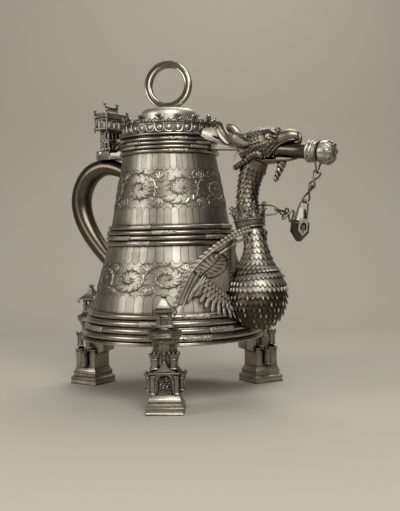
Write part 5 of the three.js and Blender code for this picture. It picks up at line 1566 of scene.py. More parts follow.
    def jaw(self) -> None:
        """The thin pointed lower jaw with a rolled lip."""
        form = limb(self.jaw_line, 24, 36)
        for side in (-1, 1):
            lip = [Vector((x, side * wide * 0.96, z + 0.9)) for x, z, _, wide in self.jaw_line[1:]]
            form.add(wire(lip, lambda share: 0.95 - 0.5 * share, 8, count=24))
        # Painted shade: the jaw wears the darker satin copy.
        form.piece("pointed_jaw", Body.VESSEL, SATIN, "lower_jaw")

    def beard(self) -> None:
        """The goatee, twisted like a cord and coming to a point."""
        spine = upright(((157.6, 280.2), (156.4, 275), (153.4, 268.4), (150.2, 262), (148.6, 257.4)))

        def strand(turn: float) -> Form:
            line = spline(spine, 30)
            twisted = []
            for i, point in enumerate(line):
                share = i / 29
                angle = turn + share * TAU * 1.7
                reach = (3.3 - 1.6 * share) * min(
                    1.0, 0.6 + share * 4) * (1.0 if share < 0.9 else 10 * (1 - share))
                twisted.append(Vector(point) + Vector((math.cos(angle) * reach, math.sin(angle) * reach, 0)))
            return wire(twisted, lambda share: 2.9 - 1.8 * share, 8, count=40)

        form = Form()
        for third in range(3):
            form.add(strand(third * TAU / 3))
        form.piece("twisted_beard", Body.VESSEL, SCALED, "beard")

    def rim_leaf(self) -> None:
        """The broad leaf that ties the head to the rim, slit on both sides, with upturned lobes."""
        form = Form()
        stalk = (
            (60, 302.4, 3.6, 3.2), (72, 301, 3.0, 3.4), (86, 299.4, 2.4, 3.4), (98, 298.4, 2.6, 3.8),
            (108, 298, 4.6, 5.2), (113, 298, 6.2, 7.4))
        form.add(limb(stalk, 16, 30))
        slits, lobes = Form(), Form()
        for side in (-1, 1):
            line = beside(side, (
                (113, 6, 297.5), (100, 9.5, 302.6), (88, 12.4, 308.6), (77, 15.2, 313.6), (68, 17.6, 317.0),
                (61, 20.2, 318.6)))
            look = [Vector((0.12, side * 0.9, 0.4))] * len(line)
            form.add(cupped(line, look, lambda share: 3.4 + 4.8 * math.sin(min(
                share * 1.3, 1.0) * math.pi / 2) ** 1.5
                            * (1.0 if share < 0.76 else 3.6 - 3.42 * share), 38, 1.2, 12, 30))
            up = beside(side, (
                (96, 12.5, 305), (91, 14.6, 312), (86.6, 15, 319), (82, 14, 325), (76, 12.6, 326.8)))
            lobes.add(cupped(up, [Vector((-0.2, side * 0.95, 0.2))] * 5,
                             lambda share: 2.6 + 4.4 * math.sin(share * math.pi * 0.8 + 0.4), 62, 1.1, 10, 24))
            middle = Vector((79.6, side * 15.4, 311.4))
            along, rise = Vector((0.91, side * -0.2, -0.36)), Vector((0.3, side * -0.25, 0.92))
            slot = [middle + along * a + rise * b for a, b in arc((0, 0), (7.2, 2.0), 0, 330, 12)]
            form.add(wire(slot, 0.7, 8, closed=True, count=30))
            # Painted shadow: a dark blade in each slit stands for the shade seen through it.
            slits.add(blade([middle - along * 6.4, middle, middle + along * 6.4], look[:3],
                            lambda t: 1.7 * math.sin(t * 2.9 + 0.1), 0.8))
        form.piece("rim_leaf", Body.VESSEL, FROST_AND_HIGHLIGHT, "rim_bracket")
        # Painted shade: the upturned lobes' hollow faces are darkened with the satin copy.
        lobes.piece("upturned_lobes", Body.VESSEL, SATIN)
        slits.piece("leaf_slits", Body.VESSEL, SHADOW_FILL)


@dataclass
class Wing:
    """A folded wing laid against the lower tier: an arm, an engraved cell, a strap and rows of feathers."""

    side: int
    gap: float = 1.4
    wall_gap: float = 0.6
    root_radius: float = 116.6
    low_z: float = 118.0
    root_z: float = 196.0
    degree_mm: float = 1.9
    arm: tuple[tuple[float, float], ...] = (
        (-3.5, 198), (-9, 198), (-17, 193.6), (-25, 185.6), (-34, 174), (-43, 157), (-48.5, 137), (-53, 116))
    tips: tuple[tuple[float, float], ...] = (
        (-46.4, 120.0), (-41.8, 126.4), (-37.6, 119.0), (-34.3, 112.6), (-30.2, 107.0), (-26.2, 103.2),
        (-21.6, 101.0), (-17.0, 98.6), (-12.6, 97.4))
    cell: tuple[float, float, float, float] = (-31.6, 161.0, 11.6, 14.4)

    def radius(self, z: float) -> float:
        """How far the wing's face lies from the vessel's axis at a height."""
        share = (z - self.low_z) / (self.root_z - self.low_z)
        low = Vessel.radius_at(self.low_z) + self.gap + 2.4
        return max(low + (self.root_radius - low) * share, Vessel.radius_at(z) + self.gap + 2.8)

    def at(self, degrees: float, z: float, lift: float = 0.0) -> Vector:
        """A point on the wing, by its angle round the vessel and its height."""
        radius = self.radius(z) + lift
        a = math.radians(degrees)
        return Vector((radius * math.cos(a), self.side * -radius * math.sin(a), z))

    def out(self, degrees: float) -> Vector:
        """The way the wing's face looks at an angle."""
        a = math.radians(degrees)
        return Vector((math.cos(a), self.side * -math.sin(a), 0))

    def feather(
            self, start: tuple[float, float], end: tuple[float, float], wide: float, lift: float,
            sag: float = 0.0,) -> Form:
        """A feather with a quill, from a place on the wing to its tip.

        Args:
            start: The angle and height of its root.
            end: The angle and height of its tip.
            wide: Half its width.
            lift: How far it stands off the wing's face.
            sag: How far its middle hangs, in millimetres.

        Returns:
            The feather.
        """
        line, looks = [], []
        for share in (0.0, 0.35, 0.7, 1.0):
            degrees = start[0] + (end[0] - start[0]) * share
            z = start[1] + (end[1] - start[1]) * share - sag * math.sin(share * math.pi)
            line.append(self.at(degrees, z, lift * (0.4 + 0.6 * math.sin(share * math.pi * 0.8))))
            looks.append(self.out(degrees))

        def half(share: float) -> float:
            tip = 1.0 if share < 0.72 else math.sqrt(max(1 - ((share - 0.72) / 0.28) ** 2, 0))
            return wide * min(1.0, 0.55 + share) * tip

        form = blade(line, looks, half, 0.95, 8, 18)
        quill = [p + n * 0.75 for p, n in zip(line, looks)]
        return form.add(wire(quill, lambda share: 0.62 - 0.4 * share, 6, count=12))

    def build(self, word: str) -> None:
        """Makes the wing's frame, feathers, strap and veined cell.

        Args:
            word: Near or far, for the names.
        """
        cell, veins = self.cell_plate()
        feathers = Form()
        self.add_primaries(feathers)
        for form, name, finish, nodes in (
            (self.sheet().add(self.arm_bones()), "wing_frame", WINGED, (f"{word}_wing",)),
            (feathers, "wing_feathers", FROST_AND_HIGHLIGHT, ()),
            # The strap wears the darker satin copy: painted shade.
            (self.strap(), "wing_strap", SATIN, ()),
            (cell, "wing_cell", FROST_AND_HIGHLIGHT, ()),
            # The veins wear the very dark copy: painted shade along them.
            (veins, "cell_veins", DEEP_SHADE, ()),
        ):
            leant_on_wall(form, self.wall_gap).piece(f"{word}_{name}", Body.VESSEL, finish, *nodes)

    def add_primaries(self, form: Form) -> None:
        """Adds the long feathers and the two shorter rows over them."""
        count = len(self.tips)
        for k, (degrees, z) in enumerate(self.tips):
            share = k / (count - 1)
            start = (-38.5 + 24 * share, 146 - 30 * share)
            form.add(self.feather(start, (degrees, z), 2.2, 2.6 + 0.7 * (k % 2), 1.0))
        for row, (reach, wide, lift) in enumerate(((0.66, 2.0, 3.9), (0.42, 1.9, 4.7), (0.22, 1.8, 5.4))):
            for k in range(11 - row):
                share = (k + 0.5 * row) / 10
                degrees, z = spline([(a, b) for a, b in self.tips], 41)[round(share * 40)]
                start = (-36.5 + 24 * share, 150 - 31 * share)
                end = (start[0] + (degrees - start[0]) * reach, start[1] + (z - start[1]) * reach)
                form.add(self.feather(start, end, wide, lift, 1.0))

    def sheet(self) -> Form:
        """The thin ground that the feathers lie on, from the arm to near the tips."""
        edge = spline(self.arm[2:], 25)
        tips = spline(tuple(reversed(self.tips)), 25)
        form = Form()
        bmesh.ops.create_grid(form.bm, x_segments=24, y_segments=10, size=1.0)
        for vert in form.bm.verts:
            i, share = round((vert.co.x + 1) * 12), (vert.co.y + 1) / 2 * 0.66
            degrees = edge[i][0] + (tips[i][0] - edge[i][0]) * share
            z = edge[i][1] + (tips[i][1] - edge[i][1]) * share
            vert.co = self.at(degrees, z, -0.4)
        inside = [f for f in form.bm.faces if self.in_opening(f.calc_center_median())]
        bmesh.ops.delete(form.bm, geom=inside, context="FACES")
        form.outward()
        bmesh.ops.solidify(form.bm, geom=form.bm.faces, thickness=1.0)
        return form

    def in_opening(self, at: Vector) -> bool:
        """Whether a point lies in the opening between the wing's root and the neck."""
        out = abs(at.y)
        return at.z > 146 and out < 29 + (at.z - 150) * 0.19

    def cell_plate(self) -> tuple[Form, Form]:
        """The egg-shaped cell between arm and feathers, and the roll and branching veins on it."""
        middle, z0, reach, tall = self.cell
        frame_line = []
        for k in range(16):
            a = TAU * k / 16
            x, y = math.cos(a), math.sin(a)
            frame_line.append((middle + reach * (x * 0.96 - 0.14 * y), z0 + tall * (y * 0.96 + 0.24 * x)))
        rim = [self.at(d, z, 1.2) for d, z in frame_line]
        line = [Vector(p) for p in spline(rim, 32, closed=True)]
        veins = wire(rim, 0.8, 8, closed=True, count=64)
        cell = Form()
        hub = cell.bm.verts.new(self.at(middle, z0, 3.6))
        rings = [[cell.bm.verts.new(p.lerp(hub.co, t) + self.out(middle) * 1.6 * t * (1 - t)) for p in line]
                 for t in (0, 0.35, 0.7)]
        for outer, inner in zip(rings, rings[1:]):
            for i in range(32):
                j = (i + 1) % 32
                cell.bm.faces.new((outer[i], outer[j], inner[j], inner[i]))
        for i in range(32):
            cell.bm.faces.new((rings[-1][i], rings[-1][(i + 1) % 32], hub))
        cell.outward()
        bmesh.ops.solidify(cell.bm, geom=cell.bm.faces, thickness=0.8)
        root, top = line[20], line[4]
        lift = self.out(middle)
        for k in range(7):
            start = root.lerp(top, 0.12 + 0.11 * k)
            for end in (line[(18 - 2 * k) % 32], line[(22 + 2 * k) % 32]):
                for t0, t1 in ((0, 0.92), (0.45, 0.8)):
                    a, b = start.lerp(end, t0), start.lerp(end, t1)
                    if t0:
                        b += (top - root) * 0.09
                    dome = [p + lift * (2.9 * (1 - ((p - hub.co).length / 21) ** 2) + 0.5)
                            for p in (a, a.lerp(b, 0.5), b)]
                    dome[1] += (top - root) * 0.04
                    veins.add(wire(dome, 0.2, 5, count=8))
        stem = [root.lerp(top, t) + lift * (0.4 + 11.6 * t * (1 - t)) for t in (0.02, 0.25, 0.5, 0.75, 0.98)]
        veins.add(wire(stem, 0.32, 6, count=12))
        return cell, veins

    def arm_bones(self) -> Form:
        """The thick leading edge with its overlapping feather tips, and the thin bone below it."""
        form = Form()
        line = [self.at(d, z, 1.2) for d, z in self.arm]
        form.add(wire(line, lambda share: 2.3 - 1.1 * share, 12, count=48))
        below = [self.at(d * 0.97 + 1.4, z - 7.5 + 0.04 * abs(d), 1.0) for d, z in self.arm[1:]]
        form.add(wire(below, lambda share: 1.7 - 0.7 * share, 8, count=36))
        rows = spline(self.arm, 27)
        for k, (degrees, z) in enumerate(rows[1:-1]):
            after = rows[k + 2]
            step = (after[0] - degrees, after[1] - z)
            size = 1.0 - 0.4 * k / 25
            normal = Vector((step[1], step[0] * -self.degree_mm)).normalized()
            for reach, wide, lift in ((6.8, 2.0, 4.6), (2.4, 2.0, 6.0)):
                end = (degrees + step[0] * 1.6 + normal.x * reach * size / self.degree_mm,
                       z + step[1] * 1.6 + normal.y * reach * size)
                form.add(self.feather((degrees, z + 0.6), end, wide * size, lift * size))
        return form

    def strap(self) -> Form:
        """The hatched strap that bounds the opening beside the neck."""
        form = Form()
        line = [(-16.6, 191), (-17.0, 180), (-16.0, 168), (-14.2, 156), (-11.4, 145)]
        points = [self.at(d, z, 1.0) for d, z in line]
        looks = [self.out(d) for d, z in line]
        form.add(blade(points, looks, lambda share: 4.2 - 1.0 * share, 1.3, 8, 24))
        for k, point in enumerate(spline(points, 15)):
            look = Vector(spline(looks, 15)[k])
            across = Vector((0, 0, 1)).cross(look).normalized()
            for shift_by, reach, rise in ((0, 2.2, 1.1), (6.4, 3.4, -2.2), (6.4, 3.4, 0.6)):
                ends = [Vector(point) + look * 0.8 + across * (self.side * shift_by + s * reach)
                        + Vector((0, 0, s * 1.1 + rise)) for s in (-1, 0, 1)]
                form.add(wire(ends, 0.42, 6, count=5))
        return form


def unstretched(place: Matrix) -> Matrix:
    """Undoes a place's stretching, so that what is put there keeps its own size."""
    return Matrix.Diagonal((
        *[1 / max(column.to_3d().length, 1e-6) for column in (place.col[i] for i in range(3))], 1))


def leant_on_wall(form: Form, gap: float = 0.3) -> Form:
    """Flattens whatever would enter the vessel against its wall."""
    for vert in form.bm.verts:
        away = math.hypot(vert.co.x, vert.co.y)
        least = Vessel.radius_at(max(vert.co.z, Vessel.line[0][1])) + gap
        if away < least:
            vert.co.x *= least / away
            vert.co.y *= least / away
    return form


@dataclass
class HingeTower:
    """The bracket on the rim, its pin, and the gallery tower that turns on the pin and carries the lid."""

    hinge: tuple[float, float] = (-97.0, 304.0)
    back: float = -103.5
    inner: float = 15.35
    middle: float = -90.75
    shaft: tuple[float, float] = (6.75, 15.0)
    shaft_foot: float = 308.8
    string: float = 319.0
    shaft_top: float = 332.6
    gallery: tuple[float, float] = (11.0, 23.5)
    gallery_top: float = 352.0
    gallery_middle: float = -91.0
    post_top: float = 361.0
    thumb_spread: float = 13.0
    thumb_z: float = 366.0

    def build(self) -> None:
        """Makes the bracket, the pin, the shaft, the gallery and the thumb bar."""
        self.bracket().piece("bracket_trough", Body.VESSEL, CAST, "hinge_bracket")
        self.pin().piece("headed_pin", Body.VESSEL, POLISHED, "hinge_pin")
        self.tower().piece("arcaded_shaft", Body.LID, CAST, "tower_shaft")
        self.walk().piece("arcaded_gallery", Body.LID, CAST, "tower_gallery")
        self.thumb().piece("thumb_rail", Body.LID, CAST, "thumb_bar")

    def bracket(self) -> Form:
        """The open-backed trough: two hatched cheeks, a floor and two front posts."""
        low, front, mouth = self.hinge[1] - 8.4, -82.0, -58
        cheek = [
            (self.back, low), (mouth, low), (mouth, low + 8), (front, low + 8), (front, low + 11.4),
            (self.back, low + 11.4)]
        form = Form()
        for side in (-1, 1):
            at = side * (self.inner + 0.8) + 0.8
            form.add(plate(cheek, 1.6, 0.25), shift(0, at) @ spin_about("X", 90))
            for k in range(9):
                x = self.back + 2.5 + 2.2 * k
                ends = [Vector((
                    x + a, side * (self.inner + 1.7), low + b)) for a, b in ((0, 1.6), (3.6, 9.4))]
                form.add(wire(ends, 0.32, 6, count=2))
            for z in (low + 0.9, low + 10.4):
                roll = [Vector((x, side * (self.inner + 1.6), z)) for x in (self.back, front)]
                form.add(wire(roll, 0.6, 8, count=2))
            form.add(turned([
                (0, low), (1.5, low), (1.1, low + 1), (1.1, low + 10), (1.7, low + 11.2), (1.0, low + 12.4),
                (1.6, low + 13.8), (1.2, low + 15.2),
                (0, low + 15.8)], 12), shift(front - 0.6, side * (self.inner + 1.1)))
        return form.add(block((self.back, -self.inner - 0.4, low), (mouth, self.inner + 0.4, low + 2.4), 0.3))

    def pin(self) -> Form:
        """The hinge pin with its two domed heads."""
        reach = self.inner + 1.9
        form = turned([
            (0, -reach - 1.4), (1.8, -reach - 1.3), (2.6, -reach - 0.6), (2.6, -reach), (1.6, -reach + 0.1),
            (1.6, reach - 0.1), (2.6, reach), (2.6, reach + 0.6), (1.8, reach + 1.3), (0, reach + 1.4)], 20)
        return form.move(shift(self.hinge[0], 0, self.hinge[1]) @ spin_about("X", 90))

    def sides(
            self, half: tuple[float, float],
            counts: tuple[int, int]) -> list[tuple[Matrix, float, float, int]]:
        """The turn, distance, half width and count of each of a rectangle's four sides."""
        found = []
        for quarter in range(4):
            odd = quarter % 2
            found.append((spin_about("Z", 90 * quarter), half[odd], half[1 - odd], counts[1 - odd]))
        return found

    def storey(
            self, half: tuple[float, float], bays: tuple[int, int], foot: float, rise: float,
            depth: float) -> Form:
        """Four arcaded walls round a room, with a colonnette in front of each pier.

        Args:
            half: Half the room's outer size along X and along Y.
            bays: How many openings the walls along X and along Y have.
            foot: The height that they stand on.
            rise: How tall they are.
            depth: Their thickness.

        Returns:
            The storey, round the Z axis.
        """
        form = Form()
        for place, away, wide, count in self.sides(half, bays):
            pitch = 2 * wide / count
            opening = pitch * 0.58
            wall = plate(
                arcade(2 * wide - 0.1, rise, count, opening, rise - 1.3 - opening / 2, 9), depth, 0.12)
            form.add(wall, place @ shift(away - depth, 0, foot) @ STANDING)
            column = turned([
                (0, 0), (1.0, 0), (1.0, 0.7), (0.6, 1.2), (0.55, rise - 3.4), (1.0, rise - 2.8),
                (1.0, rise - 2.2), (0, rise - 2.2)], 10)
            form.stamp(
                column,
                [place @ shift(away, (k - count / 2) * pitch * 0.985, foot) for k in range(count + 1)])
            form.add(block((away - depth, -wide, foot), (away + 0.3, wide, foot + 1.1), 0.2), place)
        return form

    def edge(self, part: Form, half: tuple[float, float], count: tuple[int, int], z: float) -> Form:
        """Copies a part all along the four sides of a rectangle, facing out."""
        form = Form()
        for turn, away, wide, many in self.sides(half, count):
            form.stamp(part, [turn @ shift(away, (2 * k + 1 - many) * wide / many, z) for k in range(many)])
        return form

    def tower(self) -> Form:
        """The two-storeyed shaft with its knuckle on the pin and the flying arch that carries the lid."""
        half, foot, string = self.shaft, self.shaft_foot, self.string
        form = Form()
        form.add(block(
            (-half[0] + 1.9, -half[1] + 1.9, foot), (half[0] - 1.9, half[1] - 1.9, self.shaft_top)))
        form.add(self.storey(half, (2, 4), foot + 0.9, string - foot - 0.7, 1.3))
        form.add(self.storey(half, (2, 4), string + 2.2, self.shaft_top - string - 2.2, 1.3))
        course = ((0, string), (0.9, string + 0.7), (0.9, string + 1.7), (0, string + 2.4))
        form.add(moulded(course, *half).soften(0.15, 1))
        form.add(moulded(((0.5, foot), (0.5, foot + 0.8), (0, foot + 1.2)), *half))
        form.add(self.edge(ball(0.55, sides=6), (half[0] + 0.8, half[1] + 0.8), (8, 17), string + 1.2))
        form.stamp(ball(1.4, sides=10), corners(half[0], half[1], string + 1.2))
        form.move(shift(self.middle))
        x, z = self.hinge
        barrel = [(1.95, -half[1]), (4.0, -half[1]), (4.2, -half[1] + 0.4)]
        for k in range(1, 6):
            y = -half[1] + 5 * k
            barrel += [(4.2, y - 0.5), (3.6, y), (4.2, y + 0.5)]
        barrel += [(4.2, half[1] - 0.4), (4.0, half[1]), (1.95, half[1])]
        form.add(turned(barrel, 28), shift(x, 0, z) @ spin_about("X", 90))
        form.add(block((-97.5, -half[1], z + 2.2), (x + 4, half[1], foot + 0.5), 0.2))
        outline = [
            (-85, 309.2), (-82, 309.2), (-79.4, 312.4), (-75, 314.9), (-69, 316.4), (-61.5, 316.8),
            (-58.3, 319.9), (-58.3, 321.9), (-70, 322.9), (-85, 323.9)]
        arch = plate(outline, 12, 0.4)
        arch.recess([f for f in arch.bm.faces if abs(f.normal.z) > 0.9 and f.calc_area() > 60], 1.3, 0.9)
        form.add(arch, shift(0, 6) @ spin_about("X", 90))
        for side in (-1, 1):
            curl = [Vector((a, side * 6.1, b)) for a, b in (
                (-83.5, 311), (-80.5, 315.4), (-75, 317.6), (-70.4, 318.6), (-69.6, 320.6), (-71.4, 321))]
            form.add(wire(curl, lambda share: 0.9 - 0.35 * share, 8, count=24))
        return form

    def walk(self) -> Form:
        """The gallery: a beaded sole with corner drops, an arcade, a leafy battlement and corner posts."""
        half, foot, top = self.gallery, self.shaft_top + 0.3, self.gallery_top
        form = Form()
        sole = (
            (-3.4, foot), (-2.6, foot + 0.5), (-1.0, foot + 0.9), (-0.2, foot + 1.4), (0, foot + 1.8),
            (0, foot + 2.8), (-0.6, foot + 3.2))
        form.add(moulded(sole, *half).soften(0.12, 1))
        form.add(self.edge(ball(0.6, sides=6), (half[0] - 0.9, half[1] - 0.9), (10, 21), foot + 0.8))
        room = (half[0] - 2.2, half[1] - 2.2)
        form.add(self.storey(room, (2, 4), foot + 3.1, top - foot - 6.2, 1.5))
        eaves = (
            (-2.6, top - 3.4), (-1.2, top - 3.0), (-0.3, top - 2.2), (-0.3, top - 1.4), (0, top - 1.1),
            (0, top - 0.2), (-0.8, top))
        form.add(moulded(eaves, *half).soften(0.12, 1))
        form.add(self.edge(ball(0.55, sides=6), (half[0] - 0.3, half[1] - 0.3), (10, 21), top - 1.8))
        leaf = turned([(0, 0), (0.9, 0.2), (1.15, 1.3), (0.7, 2.4), (0.9, 3.0), (0.4, 4.0), (0, 4.2)], 8)
        form.add(self.edge(leaf, (half[0] - 0.9, half[1] - 0.9), (8, 17), top - 0.2))
        post = turned([
            (0, foot - 3.4), (0.7, foot - 3.2), (1.1, foot - 2.2), (0.6, foot - 1.2), (1.3, foot - 0.4),
            (1.5, foot + 0.8), (1.9, foot + 1.6), (1.9, foot + 2.8), (1.2, foot + 3.4), (1.2, top - 3.6),
            (1.9, top - 3), (1.9, top), (1.2, top + 0.6), (1.1, top + 3.6), (1.7, top + 4.4),
            (0.9, top + 5.2), *arc((0, self.post_top - 1.9), (1.9, 1.9), -60, 90, 9)[:-1],
            (0, self.post_top)], 16)
        form.stamp(post, corners(half[0] - 1.5, half[1] - 1.5))
        return form.move(shift(self.gallery_middle))

    def thumb(self) -> Form:
        """The rail for the thumb: two balled posts, a bar and the little arches that hang from it."""
        foot, bar, spread = self.gallery_top + 0.3, self.thumb_z, self.thumb_spread
        form = Form()
        post = turned([
            (0, foot), (2.6, foot), (2.6, foot + 0.8), (1.5, foot + 2.4), (1.1, foot + 4), (1.1, bar - 2),
            (1.8, bar - 1), (1.8, bar), (1.2, bar + 0.8), *arc((0, bar + 3.1), (2.3, 2.3), -62, 90, 9)[:-1],
            (0, bar + 5.4)], 16)
        form.stamp(post, [shift(0, side * spread) for side in (-1, 1)])
        rail = [Vector((
            0, y, bar - 1.2 - 0.6 * math.cos(y / spread * math.pi / 2))) for y in (-13, -6.5, 0, 6.5, 13)]
        form.add(wire(rail, 1.45, 12, count=24))
        hanging = plate(arcade(2 * spread - 3, 3.6, 6, 3.0, 0.4, 7), 1.6, 0.15)
        form.add(hanging, shift(-0.8, 0, bar - 6.2) @ STANDING)
        form.stamp(
            ball(0.65, sides=8), [shift(0, (k - 2) * (2 * spread - 3) / 6, bar - 6.4) for k in range(5)])
        return form.move(shift(self.gallery_middle))


@dataclass
class Spout:
    """The pouring pipe with its stopper, the wire strap, the chains and the padlock."""

    root: tuple[float, float] = (150.0, 294.5)
    slope: float = 7.0
    groove: float = 54.3
    pipe_radius: float = 8.25
    bore: float = 5.6
    bulb_radius: float = 13.6
    strap_drop: float = 24.2
    hook: float = 2.8
    bow: float = 5.2
    shackle: tuple[float, float] = (186.5, 234.0)
    lock_top: tuple[float, float] = (181.8, 225.2)
    lock_foot: tuple[float, float] = (176.6, 187.0)
    girth: float = 11.3
    lock_turn: float = -13.0
    staple: tuple[float, float] = (151.0, 225.0)
    chain_end: tuple[float, float] = (170.4, 215.4)

    def on_pipe(self, along: float, down: float = 0.0) -> Vector:
        """A point at a distance along the pipe and below its axis."""
        a = math.radians(self.slope)
        x, z = self.root
        return Vector((
            x + along * math.cos(a) - down * math.sin(a), 0, z - along * math.sin(a) - down * math.cos(a)))

    def build(self) -> None:
        """Makes the pipe, the stopper and everything that hangs from it."""
        x, z = self.root
        along = shift(x, 0, z) @ spin_about("Y", 90 + self.slope)
        # Painted dark reflection: the pipe wears the darker copy of the silver.
        self.pipe().move(along).piece("smooth_pipe", Body.VESSEL, DARK_REFLECTION, "pouring_pipe")
        self.stopper().move(along).piece("bud_stopper", Body.STOPPER, CUPPED, "spout_stopper")
        self.strap().piece("wire_strap", Body.STRAP, WIRE, "stopper_strap")
        eye = self.on_pipe(self.groove, self.strap_drop)
        top = Vector((self.shackle[0], 0, self.shackle[1]))
        hang = (top - eye).normalized()
        meet = (eye + top) / 2
        across, level = Vector((1, 0, 0)), Vector((0, 1, 0))
        half = hang * self.hook / 2
        self.link(eye - 2 * half, meet + half, across, 8.4).piece(
            "figure_eight_1", Body.UPPER_LINK, WIRE, "stopper_link_1")
        self.link(meet - half, top + 2 * half, level, 12.0).piece(
            "figure_eight_2", Body.LOWER_LINK, WIRE, "stopper_link_2")
        self.padlock(top + hang * self.bow)
        self.collar_chain()

    def pipe(self) -> Form:
        """The bored pipe, a little stouter between the dragon's mouth and the stopper."""
        radius, bore = self.pipe_radius, self.bore
        return turned([
            (bore, -14), (radius + 0.6, -14), (radius + 0.8, 3), (radius + 0.9, 26), (radius + 0.7, 38.4),
            (radius + 0.3, 39.6), (radius, 40), (radius, 54), (radius - 0.5, 55), (bore + 0.5, 55),
            (bore, 54.4)], 64)

    def stopper(self) -> Form:
        """The stopper: a collar, a groove for the strap, and a bud with hollowed petals and a flower."""
        seat, start, groove, end = self.pipe_radius + 0.3, 40.3, self.groove, 73.2
        big = self.bulb_radius
        form = turned([
            (seat, start), (11.2, start), *arc((11.4, start + 2.0), (1.4, 1.7), -80, 80, 9),
            (11.6, start + 4.2), *arc((11.3, start + 6.6), (1.3, 1.9), -80, 80, 9), (11.2, groove - 2.2),
            (11.0, groove), (11.2, groove + 2.2), (12.9, groove + 3.0), (big - 0.3, groove + 4.6),
            (big, groove + 7), (big, end - 8.6), (big - 0.9, end - 5.4), (big - 2.8, end - 2.6),
            (8.6, end - 0.8), (6.4, end), (2.2, end), (0, end), (0, 55.6), (seat, 55.6)], 96)
        for vert in form.bm.verts:
            away = math.hypot(vert.co.x, vert.co.y)
            if vert.co.z > groove + 2.5 and away > 7:
                petal = abs(math.cos(3.5 * math.atan2(vert.co.y, vert.co.x)))
                rise = min((vert.co.z - groove - 2.5) / 4, 1.0)
                shrink = 1 - 0.07 * rise * (1 - petal) ** 2
                vert.co.x *= shrink
                vert.co.y *= shrink
        turns = [TAU * k / 12 for k in range(12)]
        rim = [Vector((0.35 + 0.5 * math.cos(a), 3.0 * math.sin(a), 3.6 * math.cos(a))) for a in turns]
        oval = wire(rim, 0.6, 8, closed=True, count=28)
        form.stamp(oval, [m @ spin_about("Y", -38) for m in around(7, 11.6, end - 4.0)])
        petal = ball(1.15, (0, 0, 0), 0.8, 10)
        form.stamp(petal, around(6, 1.9, end + 0.9))
        form.add(ball(1.2, (0, 0, end + 1.1), 0.8, 10))
        lobe = ball(1.9, (0, 0, 0), 1.1, 10)
        return form.stamp(lobe, around(10, 10.9, start + 4.2))

    def strap(self) -> Form:
        """The pear-shaped wire that sits in the stopper's groove."""
        reach = 12.45
        line = [(
            reach * math.cos(math.radians(d)),
            reach * math.sin(math.radians(d))) for d in range(-35, 216, 25)]
        drop = self.strap_drop
        line += [(-3.4, 5 - drop), (-1.5, 1 - drop), (0, -drop), (1.5, 1 - drop), (3.4, 5 - drop)]
        points = [self.on_pipe(self.groove, -up) + Vector((0, across, 0)) for across, up in line]
        return wire(points, 0.95, 10, closed=True, count=96)

    def link(self, start: Vector, end: Vector, sideways: Vector, width: float, thick: float = 1.2) -> Form:
        """A figure-of-eight link.

        Args:
            start: Its one end.
            end: Its other end.
            sideways: The way its loops spread.
            width: Its outer width.
            thick: The wire's radius.

        Returns:
            The link, one unbroken wire that crosses itself in the middle.
        """
        middle, along = (start + end) / 2, end - start
        half = along.length / 2
        along.normalize()
        across = (sideways - along * sideways.dot(along)).normalized()
        out = along.cross(across)
        points = []
        for step in range(24):
            a = TAU * step / 24
            points.append(middle + along * half * math.cos(a) + across * (width / 2 - 1) * 1.25 * math.sin(2 * a)
                          + out * 1.5 * math.sin(a))
        return wire(points, thick, 10, closed=True, count=96)

    def padlock(self, crown: Vector) -> None:
        """The faceted padlock with its keyhole, hanging on a bent shackle.

        Args:
            crown: The middle of the shackle's round crown.
        """
        foot = Vector((self.lock_foot[0], 0, self.lock_foot[1]))
        axis = Vector((self.lock_top[0], 0, self.lock_top[1])) - foot
        tall = axis.length
        axis.normalize()
        side = Vector((axis.z, 0, -axis.x))
        level = Vector((0, 1, 0))
        turn = Matrix.Rotation(math.radians(self.lock_turn), 3, axis)
        vertex, flank, out, across = (turn @ v for v in (
            side, level, side * SIN_60 - level * 0.5, side * 0.5 + level * SIN_60))

        def ring(share: float, wide: float) -> Matrix:
            return facing(foot + axis * share * tall, vertex * wide, flank * wide)

        places = [ring(share, size * self.girth) for share, size in (
            (0, 0.26), (0.28, 0.98), (0.57, 0.95), (0.67, 0.6), (0.97, 0.4), (1, 0.24))]
        # Painted shade: the padlock's body wears the darker copy, against its brighter shield.
        swept(places, 6).soften(0.25, 1).piece(
            "faceted_padlock", Body.PADLOCK, DARK_REFLECTION, "padlock_body", smooth=False)
        shield = [(-5.4, -5.0), (0, -10.4), (5.4, -5.0), (5.4, 6.4), (3.4, 9.0), (-3.4, 9.0), (-5.4, 6.4)]
        front = plate(shield, 3.0, 0.3)
        keyhole_at, face_away = foot + axis * 0.46 * tall, self.girth * 0.84
        front.move(facing(keyhole_at + out * (face_away - 1.9), across, axis))
        neck = [ring(share, wide) for share, wide in ((0.56, 10.4), (0.67, 7.1), (0.97, 4.8), (1.0, 3.0))]
        front.add(swept(neck, 6).soften(0.25, 1))
        # Painted highlight: the shield and the neck in front wear the bright copy, against the darker body.
        front.piece("padlock_shield", Body.PADLOCK, FROST_AND_HIGHLIGHT, smooth=False)
        reach = 7.2
        line = [foot + axis * (tall * 0.6 + up) - side * reach for up in (0, 6)]
        bend = [math.pi * k / 6 for k in range(7)]
        line += [crown - side * self.bow * math.cos(a) + axis * self.bow * math.sin(a) for a in bend]
        line += [foot + axis * (tall * 0.6 + up) + side * reach for up in (6, 0)]
        wire(line, 1.1, 10, count=72).piece("bent_shackle", Body.PADLOCK, WIRE, "padlock_shackle")
        # Painted shadow: a dark wire arch marks the keyhole's shaded opening.
        hole = Form()
        face = keyhole_at + out * (face_away + 1.0)
        arch = [face + across * a + axis * b for a, b in (
            (-2.3, -3.6), (-2.4, 0.6), (-1.5, 3.0), (0, 3.8), (1.5, 3.0), (2.4, 0.6), (2.3, -3.6))]
        hole.add(wire(arch, 1.0, 8, count=30))
        hole.piece("keyhole", Body.PADLOCK, SHADOW_FILL)

